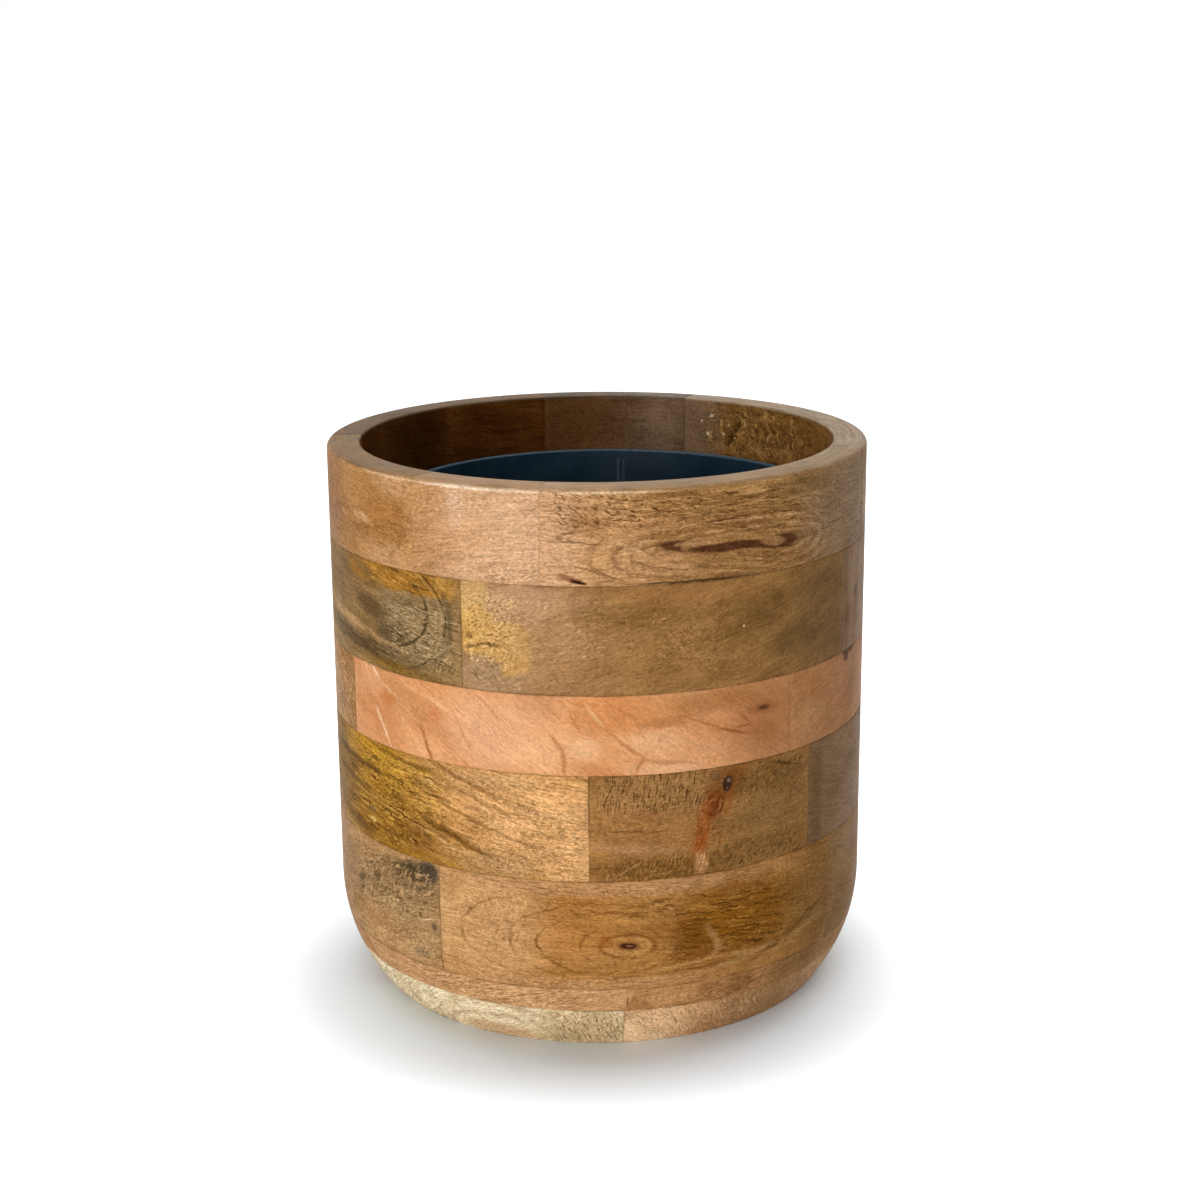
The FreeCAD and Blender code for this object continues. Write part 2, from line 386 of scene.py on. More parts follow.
def make_wood_body():
    """Broad figure, dark streaks and growth lines of a block; also gives the place bent along the grain."""
    numbers = ("Slope", "Size", "Stretch", "Wander", "Streaks", "Lines", "Line Gap", "Seed")
    tree, given, leave = start_group(
        "wood body",
        {"vector": ("Place",), "colour": ("Light", "Middle", "Dark"), "number": numbers},
        {"colour": ("Color",), "vector": ("Grain Place",)},
    )
    start = scaled(SEED_SHIFT, given["Seed"])
    laid = vector_calc("ADD", turned_back(given["Place"], given["Slope"]), start)
    bent = vector_calc("ADD", laid, swayed(laid, BEND_SCALE, given["Wander"]))
    across_scale = ratio(1.0, given["Size"])
    along_scale = ratio(across_scale, given["Stretch"])
    broad_scale = joined(along_scale, across_scale, across_scale)
    broad = noise(bent, broad_scale, 4.0, 0.6)
    colour = blended(ranged(broad), given["Middle"], given["Light"])

    streak_scale = vector_calc("MULTIPLY", broad_scale, STREAK_FINENESS)
    dark_streaks = ramped(noise(bent, streak_scale, 5.0, 0.65, STREAK_SHIFT), 0.5, 0.66)
    colour = blended(times(dark_streaks, given["Streaks"]), colour, given["Dark"])

    even_lines = ratio(split(bent)[1], given["Line Gap"])
    phase = plus(even_lines, times(broad, LINE_WAVER))
    growth = ramped(calc("SINE", times(phase, FULL_TURN)), 0.3, 1.0)
    colour = blended(times(growth, given["Lines"]), colour, given["Dark"])
    feed(leave["Color"], colour)
    feed(leave["Grain Place"], bent)
    return tree


def make_wood_fibre():
    """Fine layer over the body and its marks: speckle, fibres, clouding and open pores."""
    tree, given, leave = start_group(
        "wood fibre",
        {"colour": ("Color",), "vector": ("Grain Place",), "number": ("Speckle", "Fibre", "Pores")},
        {"colour": ("Color",), "number": ("Height",)},
    )
    grain = given["Grain Place"]
    swing = 0.0
    fine = None
    for scale, strength, weight in FINE_LAYERS:
        layer = noise(grain, scale, 3.0, 0.75)
        fine = fine or layer
        part = times(minus(layer, 0.5), given[strength])
        swing = calc("MULTIPLY_ADD", part, weight, swing)
    darkest, lightest = SHADE_LIMITS
    shade = calc("MAXIMUM", plus(swing, 1.0), darkest)
    shade = calc("MINIMUM", shade, lightest)
    green, blue = (calc("POWER", shade, power) for power in (GREEN_SWING, BLUE_SWING))
    colour = blended(1.0, given["Color"], joined(shade, green, blue), "MULTIPLY")
    pore = times(ramped(noise(grain, PORE_SCALE, 2.0, 0.6), 0.62, 0.72), given["Pores"])
    pore_colour = blended(1.0, colour, PORE_SHADE, "MULTIPLY")
    feed(leave["Color"], blended(pore, colour, pore_colour))
    feed(leave["Height"], minus(times(fine, 0.5), pore))
    return tree


def start_mark(name, *more):
    """Group of a mark laid over a colour, with the numbers that every mark has and its own."""
    numbers = ("Along", "Up", "Half Length", "Half Height", "Slope", "Ragged", "Amount", *more)
    inputs = {"colour": ("Color", "Mark"), "vector": ("Place",), "number": numbers}
    return start_group(name, inputs, {"colour": ("Color",)})


def lay_over(tree, given, leave, share):
    feed(leave["Color"], blended(share, given["Color"], given["Mark"]))
    return tree


def add_offset(given):
    """Ragged offset of a point from a mark's middle, along and up."""
    middle = joined(given["Along"], given["Up"], 0.0)
    off = vector_calc("SUBTRACT", given["Place"], middle)
    stray = swayed(given["Place"], RAGGED_SCALE, given["Ragged"], 5.0, 0.7)
    return split(vector_calc("ADD", off, stray))[:2]


def add_turned(given, x, y):
    """The offset turned to the mark's slope."""
    return split(turned_back(joined(x, y, 0.0), given["Slope"]))[:2]


def add_reach(given):
    """Distance from a mark's middle in its half sizes; Square makes the outline boxy."""
    x, y = add_turned(given, *add_offset(given))
    power = plus(ROUND_POWER, times(given["Square"], BOXY_GAIN))
    shares = []
    for offset, half in ((x, given["Half Length"]), (y, given["Half Height"])):
        share = ratio(calc("ABSOLUTE", offset), half)
        shares.append(calc("POWER", share, power))
    return calc("POWER", plus(*shares), ratio(1.0, power))


def make_stain():
    """Soft-edged patch of another tone."""
    tree, given, leave = start_mark("stain", "Square", "Soft")
    inner = minus(1.0, given["Soft"])
    outer = plus(1.0, given["Soft"])
    inside = fading(add_reach(given), inner, outer)
    return lay_over(tree, given, leave, times(inside, given["Amount"]))


def make_oval_line():
    """Broken line of another tone round an oval: one growth ring."""
    tree, given, leave = start_mark("oval line", "Square", "Width", "Open End")
    size = calc("SQRT", times(given["Half Length"], given["Half Height"]))
    off = calc("ABSOLUTE", minus(add_reach(given), 1.0))
    uneven = noise(given["Place"], OVAL_WIDTH_SCALE, 3.0, 0.6)
    width = times(given["Width"], ranged(uneven, 0.4, 1.3))
    drawn = fading(times(off, size), 0.0, width)
    broken = noise(given["Place"], OVAL_BREAK_SCALE, 3.0, shift=OVAL_BREAK_SHIFT)
    share = times(drawn, ramped(broken, 0.35, 0.6, 0.2, 1.0))
    along, _ = add_turned(given, *add_offset(given))
    reach = ratio(along, given["Half Length"])
    open_low = minus(given["Open End"], OPEN_FADE)
    open_high = plus(given["Open End"], OPEN_FADE)
    share = times(share, ramped(reach, open_low, open_high))
    return lay_over(tree, given, leave, times(share, given["Amount"]))


def make_ticks():
    """Short strokes along the mark's slope, inside a level window: open pores and flecks."""
    tree, given, leave = start_mark("ticks", "Tick Length", "Tick Width", "Share")
    x, y = add_offset(given)
    fades = []
    for offset, half in ((x, given["Half Length"]), (y, given["Half Height"])):
        reach = ratio(calc("ABSOLUTE", offset), half)
        fades.append(fading(reach, 0.6, 1.1))
    window = times(*fades)
    along, across = add_turned(given, x, y)
    tick_x = ratio(along, given["Tick Length"])
    tick_y = ratio(across, given["Tick Width"])
    stroke = noise(joined(tick_x, tick_y, given["Along"]), None, 2.0, 0.6)
    limit = minus(TICK_LEVEL, times(given["Share"], TICK_SHARE))
    limit = plus(limit, times(minus(1.0, window), TICK_WINDOW))
    drawn = ramped(stroke, limit, plus(limit, TICK_FADE))
    return lay_over(tree, given, leave, times(times(drawn, window), given["Amount"]))


def make_block_edges():
    """Dark glue, here and there, along the beds of a block and at its ends."""
    numbers = ("From", "To", "Low", "High", "Amount", "End Amount")
    tree, given, leave = start_group(
        "block edges",
        {"colour": ("Color", "Mark"), "vector": ("Place",), "number": numbers},
        {"colour": ("Color",)},
    )
    along, up, _ = split(given["Place"])
    uneven = noise(given["Place"], GLUE_SCALE, 3.0, 0.6)
    width = ranged(uneven, 0.5, 1.5)
    lines = []
    for spot, low, high, amount in ((along, "From", "To", "End Amount"), (up, "Low", "High", "Amount")):
        edge = calc("MINIMUM", minus(spot, given[low]), minus(given[high], spot))
        lines.append(times(fading(edge, 0.0, width), given[amount]))
    seen = ramped(uneven, 0.38, 0.62, 0.15, 1.0)
    return lay_over(tree, given, leave, times(calc("MAXIMUM", *lines), seen))


def make_inner_painted_shade():
    """Painted shade that darkens the inner faces, a little unevenly."""
    tree, given, leave = start_group(
        "inner painted shade",
        {"colour": ("Color",), "vector": ("Place",), "number": ("Radius", "Edge", "Depth")},
        {"colour": ("Color",)},
    )
    patchy = noise(given["Place"], INNER_SHADE_PATCH_SCALE, 4.0, 0.6)
    depth = times(ramped(patchy, 0.25, 0.75, 0.8, 1.15), given["Depth"])
    past_edge = minus(given["Radius"], given["Edge"])
    share = calc("MULTIPLY", fading(past_edge, 0.4, 1.3), depth, clamp=True)
    dark = blended(1.0, given["Color"], INNER_PAINTED_SHADE, "MULTIPLY")
    feed(leave["Color"], blended(share, given["Color"], dark))
    return tree


def make_top_painted_sheen():
    """Painted sheen that greys the rim's top face, and how much of the shine there is the polish's."""
    tree, given, leave = start_group(
        "top painted sheen",
        {"colour": ("Color", "Sheen Tone"), "vector": ("Place",), "number": ("Top",)},
        {"colour": ("Color",), "number": ("Polish",)},
    )
    below = minus(given["Top"], split(given["Place"])[1])
    patchy = noise(given["Place"], TOP_SCALE, 4.0, 0.6)
    share = times(fading(below, 0.1, 2.2), ranged(patchy, 0.6, 0.85))
    shade = ranged(noise(given["Place"], TOP_GRAIN_SCALE, 5.0, 0.7), 0.6, 1.4)
    painted_sheen = blended(1.0, given["Sheen Tone"], joined(shade, shade, shade), "MULTIPLY")
    feed(leave["Color"], blended(share, given["Color"], painted_sheen))
    feed(leave["Polish"], times(fading(below, 0.6, 3.2), TOP_POLISH))
    return tree


def make_satin():
    """Hand-rubbed finish: uneven gloss and faint sanding waves."""
    tree, given, leave = start_group(
        "satin", {"vector": ("Place",), "number": ("Grain",)}, {"number": ("Roughness", "Height")}
    )
    cloudy = noise(given["Place"], GLOSS_SCALE, 4.0, 0.6)
    fine = noise(given["Place"], FINE_GLOSS_SCALE)
    base = ranged(cloudy, 0.38, 0.52)
    stray = times(minus(fine, 0.5), 0.2)
    feed(leave["Roughness"], plus(base, stray))
    sanding = noise(given["Place"], SANDING_SCALE, 3.0)
    feed(leave["Height"], plus(given["Grain"], times(sanding, 0.6)))
    return tree


def make_moulded_plastic():
    """Matt grain and scuffs, with a painted highlight along the lip and, on the inside, painted highlights
    along the rib edges.
    """
    tree, given, leave = start_group(
        "moulded plastic",
        {"colour": ("Dark", "Pale")},
        {"colour": ("Color",), "number": ("Roughness", "Height")},
    )
    surface = add_node(tree, "ShaderNodeTexCoord").outputs
    coords = scaled(surface["Object"], 1.0 / MM)
    cloudy = noise(coords, LINER_CLOUD_SCALE, 4.0, 0.6)
    scuffed = ramped(noise(coords, LINER_SCUFF_SCALE, 4.0, 0.7), 0.6, 0.75, 0.0, 0.35)
    share = plus(ranged(cloudy, 0.0, 0.25), scuffed)

    x, y, up = split(vector_calc("SUBTRACT", coords, LINER_MIDDLE))
    bearing = minus(calc("ARCTAN2", x, y), RIB_BEARING)
    bearing = calc("WRAP", bearing, RIB_HALF_GAP, -RIB_HALF_GAP)
    # Painted highlights along the edges of the ribs, kept to the inner faces
    beside = calc("ABSOLUTE", times(bearing, RIB_RADIUS))
    edge = calc("ABSOLUTE", minus(beside, RIB_HALF_WIDTH))
    below_top = fading(up, RIB_TOP, RIB_TOP + RIB_TOP_FADE)
    rib_painted_highlight = times(ramped(edge, 0.3, 1.0, 0.75, 0.0), below_top)
    facing_x, facing_y, _ = split(surface["Normal"])
    outward = plus(times(facing_x, x), times(facing_y, y))
    rib_painted_highlight = times(rib_painted_highlight, fading(outward, FACING_IN, FACING_OUT))
    # Painted highlight along the lip
    lip_painted_highlight = ramped(up, LIP_LOW, LIP_HIGH, 0.0, 0.5)
    share = calc("ADD", share, calc("MAXIMUM", rib_painted_highlight, lip_painted_highlight), clamp=True)
    feed(leave["Color"], blended(share, given["Dark"], given["Pale"]))

    base = ranged(cloudy, 0.34, 0.46)
    feed(leave["Roughness"], plus(base, times(scuffed, 0.4)))
    feed(leave["Height"], noise(coords, LINER_GRIT_SCALE))
    return tree


EFFECTS = {
    "place": make_wall_place(),
    "body": make_wood_body(),
    "fibre": make_wood_fibre(),
    "stain": make_stain(),
    "oval line": make_oval_line(),
    "ticks": make_ticks(),
    "edges": make_block_edges(),
    "painted_inner_shade": make_inner_painted_shade(),
    "top": make_top_painted_sheen(),
    "satin": make_satin(),
    "plastic": make_moulded_plastic(),
}


# Marks in the wood: where each one's middle is, its size, its screen colour and how strong it is


def mark(along, up, length, height, colour, amount, slope, ragged, **more):
    return {
        "Along": along,
        "Up": up,
        "Half Length": length / 2.0,
        "Half Height": height / 2.0,
        "Mark": tone(*colour),
        "Amount": amount,
        "Slope": math.radians(slope),
        "Ragged": ragged,
        **more,
    }


def stain(along, up, length, height, colour, amount, ragged=4, soft=0.3, square=0.0, slope=0.0):
    """Patch of another tone; soft is how wide its edge is, in half sizes."""
    spread = {"Soft": soft, "Square": square}
    return "stain", mark(along, up, length, height, colour, amount, slope, ragged, **spread)


def cloud(along, up, length, height, colour, amount, ragged=4, slope=0.0):
    """Patch that fades out slowly."""
    return stain(along, up, length, height, colour, amount, ragged, 0.6, slope=slope)


def streak(start, end, width, colour, amount, ragged=3, soft=0.6):
    """Long narrow stain between two places."""
    run, rise = end[0] - start[0], end[1] - start[1]
    middle = ((start[0] + end[0]) / 2.0, (start[1] + end[1]) / 2.0)
    slope = math.degrees(math.atan2(rise, run))
    return stain(*middle, math.hypot(run, rise), width, colour, amount, ragged, soft, slope=slope)


def oval_line(along, up, length, height, colour, amount, width, ragged, square=0.0, slope=0.0, open_end=-2.0):
    """Growth ring; left of open_end, in half lengths from its middle, the oval isn't drawn."""
    line = {"Width": width, "Square": square, "Open End": open_end}
    return "oval line", mark(along, up, length, height, colour, amount, slope, ragged, **line)


def ticks(along, up, length, height, colour, amount, slope, stroke, share, ragged):
    """Strokes, each about as long and wide as stroke says, over a share of a window."""
    drawn = {"Tick Length": stroke[0], "Tick Width": stroke[1], "Share": share}
    return "ticks", mark(along, up, length, height, colour, amount, slope, ragged, **drawn)


def flecked(along, up, length, height, light, dark, amount, slope, stroke, share=0.6, ragged=4):
    """Pale and dark strokes side by side in one window."""
    return (
        ticks(along, up, length, height, dark, amount, slope, stroke, share, ragged),
        ticks(along + 1.0, up, length, height, light, amount, slope, stroke, share, ragged),
    )


# Grain of a plain block; a look gives only what differs from it
PLAIN_GRAIN = {
    "slope": 0.0,
    "size": 12.0,
    "stretch": 5.0,
    "wander": 10.0,
    "streaks": 0.3,
    "lines": 0.1,
    "gap": 4.0,
    "speckle": 0.3,
    "fibre": 0.25,
    "pores": 0.1,
    # How strong the painted shade on a block's inner faces is
    "painted_inner_shade": 0.95,
    "glue": 0.35,
    # Tone of the painted sheen that greys a rim block's top face; rim blocks set their own, lighter or darker
    # as the light falls round the rim
    "top": (134, 107, 73),
}


def look(light, middle, dark, grain, *marks):
    """Tones and grain of one block, and the marks laid over it in order."""
    grain = {**PLAIN_GRAIN, **grain}
    return {
        "marks": marks,
        "tones": (light, dark),
        "body": {
            "Light": tone(*light),
            "Middle": tone(*middle),
            "Dark": tone(*dark),
            "Slope": math.radians(grain["slope"]),
            "Size": grain["size"],
            "Stretch": grain["stretch"],
            "Wander": grain["wander"],
            "Streaks": grain["streaks"],
            "Lines": grain["lines"],
            "Line Gap": grain["gap"],
        },
        "fibre": {"Speckle": grain["speckle"], "Fibre": grain["fibre"], "Pores": grain["pores"]},
        "painted_inner_shade": grain["painted_inner_shade"],
        "glue": grain["glue"],
        "ends": grain.get("ends", grain["glue"]),
        # Tone of the painted sheen on a rim block's top face
        "top": tone(*grain["top"]),
    }


EYE_RED = (88, 50, 30)
FLECK = (255, 246, 226)

# The blocks and planks that are seen from the front
LOOKS = {}
LOOKS["rim_ring_block_1"] = look(
    (194, 142, 88), (176, 124, 70), (138, 90, 46),
    dict(
        slope=-3, size=16, stretch=3.5, streaks=0.25, speckle=0.36, glue=0.2, ends=0.05,
        top=(102, 82, 50),
    ),
    cloud(-208, 300, 70, 70, (148, 104, 70), 0.65, 18),
    cloud(-137, 303, 50, 30, (164, 108, 54), 0.65, 20),
    cloud(-168, 290, 60, 16, (166, 118, 72), 0.5, 12),
    stain(-119, 323, 44, 14, (206, 156, 108), 0.85, 12, soft=0.5),
    stain(-122, 281, 60, 16, (204, 154, 106), 0.85, 12, soft=0.5),
    oval_line(-138, 301, 44, 40, (136, 84, 42), 0.5, 3.5, 12, open_end=0.4),
    cloud(-110, 302, 14, 60, (190, 138, 88), 0.7, 14),
    streak((-165, 301.5), (-146, 299), 4.6, (218, 174, 124), 0.7, 6),
    streak((-182, 300), (-176, 297), 3, (208, 160, 112), 0.5, 5),
    # Painted highlight along the rounded top edge
    streak((-150, 327.2), (-106, 327), 1.5, (240, 206, 164), 0.5),
    streak((-160, 296), (-148, 294.5), 1.6, (150, 94, 48), 0.6, 4),
    *flecked(-140, 302, 110, 50, (214, 166, 112), (140, 92, 48), 0.35, -6, (5, 1), 0.5),
    *flecked(-120, 290, 50, 24, (222, 176, 120), (132, 84, 42), 0.45, 30, (3, 1.1), 0.55),
)
# Its light tones are partly the wood's own and partly painted sheen of the satin finish at the front-left
LOOKS["rim_ring_block_2"] = look(
    (220, 174, 134), (207, 158, 116), (172, 122, 82),
    dict(slope=8, size=20, stretch=2.2, streaks=0.14, speckle=0.36, glue=0.15, ends=0.02),
    cloud(-107, 302, 44, 90, (192, 140, 91), 0.9, 20),
    cloud(-70, 302, 20, 30, (222, 170, 124), 0.55, 12),
    cloud(-80, 315, 9, 24, (218, 182, 152), 0.5, 10),
    cloud(-86, 298, 20, 30, (206, 154, 110), 0.6, 12),
    cloud(-44, 304, 28, 30, (222, 176, 136), 0.5, 16),
    stain(-36, 318, 10, 8, (172, 128, 90), 0.4, 9, soft=0.7),
    # Painted highlight along the rounded top edge
    streak((-104, 327), (-30, 327), 1.8, (252, 230, 202), 0.65, 2),
    *flecked(-47, 283, 40, 16, (240, 202, 158), (150, 104, 64), 0.6, 28, (2.6, 1.2)),
    *flecked(-60, 320, 80, 14, (236, 198, 158), (158, 112, 74), 0.5, -10, (3.2, 1), 0.55),
    *flecked(-70, 302, 90, 40, (226, 180, 138), (178, 128, 86), 0.35, 8, (4, 1), 0.5),
    streak((-46, 296), (-32, 296.5), 0.9, (160, 114, 76), 0.35, 4),
)
LOOKS["rim_ring_block_3"] = look(
    (180, 132, 80), (152, 107, 61), (98, 64, 34),
    dict(
        slope=-2, size=6, stretch=8, wander=16, streaks=0.4, lines=0.15, gap=4.5, speckle=0.42,
        fibre=0.35, pores=0.15, glue=0.2, ends=0, top=(140, 117, 88),
    ),
    stain(-6, 300, 60, 80, (200, 150, 100), 0.85, 18, soft=0.5),
    cloud(-27, 302, 36, 84, (216, 167, 124), 0.9, 18),
    cloud(22, 287, 60, 20, (198, 148, 100), 0.6, 14),
    cloud(-7, 309, 22, 12, (152, 102, 58), 0.6, 10),
    cloud(28, 309, 26, 9, (196, 142, 92), 0.6, 8),
    streak((52, 317), (128, 314.5), 4, (192, 144, 88), 0.6, 5),
    cloud(100, 325, 70, 8, (196, 148, 92), 0.5, 8),
    ticks(-4, 317, 50, 26, (104, 68, 36), 0.85, -28, (4.5, 1), 0.68, 8),
    ticks(36, 317, 78, 24, (98, 62, 30), 0.85, -10, (7, 1.1), 0.68, 8),
    ticks(38, 317, 80, 24, (222, 172, 110), 0.65, -10, (7, 1.1), 0.6, 8),
    ticks(96, 316, 90, 24, (96, 60, 28), 0.85, -2, (17, 1.1), 0.68, 6),
    ticks(100, 314, 90, 24, (212, 164, 104), 0.55, -2, (17, 1.2), 0.58, 6),
    ticks(88, 306, 90, 12, (104, 66, 32), 0.7, -2, (16, 1.2), 0.62, 6),
    ticks(40, 304, 40, 8, (116, 76, 38), 0.7, 10, (6, 1.3), 0.62, 6),
    oval_line(76, 291.5, 160, 38, (118, 78, 44), 0.45, 1.6, 6, square=0.1),
    oval_line(76, 291.5, 148, 32, (218, 168, 116), 0.6, 2.4, 6, square=0.1),
    oval_line(77, 291.5, 136, 26, (116, 74, 42), 0.65, 1.5, 6, square=0.1),
    oval_line(77, 291.5, 127, 22.5, (216, 166, 114), 0.65, 2.2, 5, square=0.1),
    oval_line(77, 291.8, 118, 19, (108, 68, 38), 0.7, 1.5, 5),
    oval_line(77, 292, 108, 16, (208, 158, 108), 0.6, 2, 5),
    oval_line(78, 292.2, 98, 12.5, (110, 70, 38), 0.6, 1.4, 4),
    streak((12, 300), (30, 291), 3, (124, 80, 44), 0.6, 6),
    streak((8, 302), (26, 292.5), 2.4, (226, 178, 126), 0.7, 6),
    ticks(80, 285, 80, 8, (110, 70, 38), 0.6, -2, (14, 1.1), 0.6, 5),
    streak((31, 296.5), (50, 299), 2.8, EYE_RED, 0.9, soft=0.4),
    stain(40, 296.8, 11, 6, EYE_RED, 0.85, soft=0.4),
    streak((40, 296), (46, 293.6), 2.2, EYE_RED, 0.85, 2),
    stain(43, 297, 3, 2, (170, 124, 82), 0.7, 2),
    streak((45, 297.4), (64, 297), 3.4, (190, 142, 96), 0.85, 2.5),
    streak((49, 293.6), (96, 293.8), 5.2, EYE_RED, 0.95, 2.2, soft=0.3),
    streak((84, 293), (112, 289.6), 3, EYE_RED, 0.9, 2, soft=0.4),
    stain(108, 292.4, 27, 7.6, EYE_RED, 0.95, 2.2, soft=0.25),
    stain(102.5, 293.2, 16.5, 5.6, (166, 120, 76), 0.95, 2.4, soft=0.25, slope=-8),
    streak((-28, 300.6), (2, 299.2), 0.9, (104, 68, 40), 0.65, 4),
    stain(-20, 302, 3.4, 2, (100, 66, 38), 0.6, 5),
    streak((-22, 303), (-12, 306), 1.4, (100, 64, 34), 0.6, 4),
    cloud(-22, 285, 24, 10, (216, 166, 122), 0.7, 6),
    streak((-22, 282.4), (-8, 278.6), 3, (132, 74, 46), 0.8),
    streak((-15, 279.4), (-6, 277.6), 1.9, (38, 20, 14), 0.95, 1.6, soft=0.4),
    streak((-14, 288), (14, 279), 1.1, (118, 78, 46), 0.65, 4),
    streak((-6, 288), (8, 281), 1.1, (118, 78, 46), 0.6, 4),
    streak((22, 277), (88, 276.4), 1.5, (62, 38, 20), 0.85),
    # Painted highlight along the rounded top edge
    streak((-32, 327), (40, 327), 1.5, (246, 216, 178), 0.5),
    # Painted reflection: greyer tone towards the right side's edge
    cloud(180, 303, 90, 80, (158, 128, 98), 0.85, 20),
    cloud(130, 322, 50, 10, (134, 102, 60), 0.5, 10),
)
LOOKS["rim_ring_block_4"] = look(
    (176, 126, 66), (142, 97, 46), (72, 44, 18),
    dict(
        slope=10, size=9, stretch=2, wander=44, streaks=0.6, speckle=0.42, painted_inner_shade=0.32, ends=0.03,
        top=(146, 130, 108),
    ),
    # Painted reflection: greyish zone on the inner face, running on into the next block
    stain(430, 312, 44, 80, (156, 125, 98), 0.9, 30, soft=0.7),
    *flecked(370, 312, 120, 40, (226, 174, 104), (52, 30, 12), 0.75, 66, (9, 2.2), 0.6, 22),
    *flecked(352, 310, 120, 36, (214, 160, 88), (52, 30, 12), 0.7, -38, (11, 2.2), 0.58, 26),
    streak((398, 298), (388, 322), 4, (58, 34, 14), 0.6, 14),
    # Painted reflection: greyer tone towards the right side's edge
    stain(228, 303, 60, 80, (158, 128, 98), 0.9, 10, soft=0.5),
    ticks(398, 311, 44, 30, (255, 222, 150), 0.8, 60, (3, 1.6), 0.44, 6),
    stain(413, 319, 2.8, 2.2, (255, 244, 214), 1, 1.4),
    stain(416, 307, 2.4, 2.4, (255, 236, 190), 1, 1.4),
    stain(421, 315, 2, 1.6, (255, 232, 180), 0.9, 1.2),
    stain(403, 308, 2.4, 1.6, (255, 226, 170), 0.9, 1.6),
    stain(398, 314, 1.8, 1.8, (255, 226, 170), 0.8, 1.4),
)
LOOKS["rim_ring_block_5"] = look(
    (176, 140, 106), (150, 116, 84), (98, 68, 42),
    dict(
        slope=-4, size=9, stretch=5, wander=16, streaks=0.35, lines=0.05, painted_inner_shade=0.76, ends=0,
        top=(60, 53, 43),
    ),
    cloud(530, 312, 90, 70, (146, 100, 50), 0.8, 20),
    # Painted reflection: greyish zone with upright pale streaks on the inner face
    cloud(452, 312, 40, 60, (196, 164, 132), 0.7, 14),
    ticks(460, 312, 70, 34, (214, 184, 150), 0.5, 88, (14, 1.2), 0.55, 4),
    ticks(500, 312, 110, 34, (86, 58, 32), 0.45, 30, (12, 3), 0.5, 8),
)
LOOKS["rim_ring_block_6"] = look(
    (160, 106, 50), (140, 88, 38), (84, 50, 20),
    dict(slope=3, size=8, stretch=7, wander=18, streaks=0.5, lines=0.15, painted_inner_shade=0.97, top=(80, 64, 40)),
    ticks(-410, 312, 110, 34, (190, 134, 72), 0.5, 4, (16, 1.6), 0.55, 6),
    cloud(-350, 312, 60, 50, (96, 58, 22), 0.6, 16),
)
LOOKS["second_ring_block_5"] = look(
    (168, 130, 82), (136, 103, 60), (74, 55, 30),
    dict(
        slope=-8, size=6, stretch=9, wander=12, streaks=0.5, lines=0.12, speckle=0.42, fibre=0.4,
        pores=0.15,
    ),
    cloud(-185, 262, 60, 36, (122, 92, 46), 0.6, 12),
    cloud(-160, 254, 44, 14, (154, 114, 76), 0.6, 10, slope=-6),
    stain(-112, 244, 58, 42, (148, 120, 82), 0.8, 7, soft=0.18, square=0.35),
    stain(-129, 237, 26, 13, (84, 66, 40), 0.75, 7, soft=0.5, slope=-6),
    streak((-165, 252), (-132, 247), 12, (92, 70, 38), 0.75, 6, soft=0.5),
    stain(-126, 270.5, 92, 13.5, (168, 114, 38), 0.85, 8, soft=0.2, square=0.3, slope=-1),
    stain(-88, 271, 18, 12, (192, 142, 74), 0.6, 8, soft=0.5),
    streak((-172, 277), (-138, 264), 8, (124, 94, 52), 0.75, 6),
    *flecked(-122, 271, 84, 12, (204, 154, 76), (104, 68, 22), 0.7, -16, (8, 1.2), 0.62, 5),
    ticks(-112, 250, 34, 14, (206, 176, 132), 0.65, -3, (9, 1), 0.62, 3),
    ticks(-112, 242, 60, 44, (66, 50, 30), 0.75, -4, (7, 1), 0.66, 4),
    ticks(-108, 240, 58, 44, (210, 180, 134), 0.7, -8, (5, 0.9), 0.62, 4),
    *flecked(-92, 230, 26, 26, (214, 178, 130), (86, 68, 42), 0.6, 58, (8, 1.2), 0.58),
    oval_line(-133, 253, 66, 45, (50, 36, 18), 0.9, 1.5, 3, open_end=0.12),
    oval_line(-133, 253, 70.5, 49, (184, 154, 110), 0.45, 1.2, 3.5, open_end=0.3),
    oval_line(-133, 250, 91, 66, (52, 38, 20), 0.85, 1.4, 3, open_end=0.45),
    oval_line(-133, 250, 86, 61, (178, 148, 104), 0.45, 1.2, 4, open_end=0.5),
    oval_line(-133, 250, 98, 72, (90, 72, 48), 0.6, 3.6, 4, open_end=0.78),
    streak((-212, 241), (-148, 234), 5.6, (194, 150, 100), 0.8, 5),
    streak((-158, 235), (-118, 229.6), 2.2, (192, 152, 104), 0.7, 4),
    streak((-212, 230), (-112, 223), 11, (78, 60, 36), 0.8, 8),
    ticks(-160, 227, 100, 14, (160, 124, 80), 0.6, -6, (16, 1.2), 0.6, 5),
    streak((-158, 219), (-104, 217), 5, (144, 106, 40), 0.75, 5),
    stain(-185, 218, 34, 7, (140, 110, 68), 0.6, 6),
    streak((-90, 251), (-78, 250.4), 0.9, (206, 176, 132), 0.6, 1.5),
    streak((-86, 262), (-84, 236), 3, (92, 74, 50), 0.6),
    stain(-79.4, 240, 5, 60, (160, 124, 84), 0.5, 3, soft=0.5, square=0.5),
)
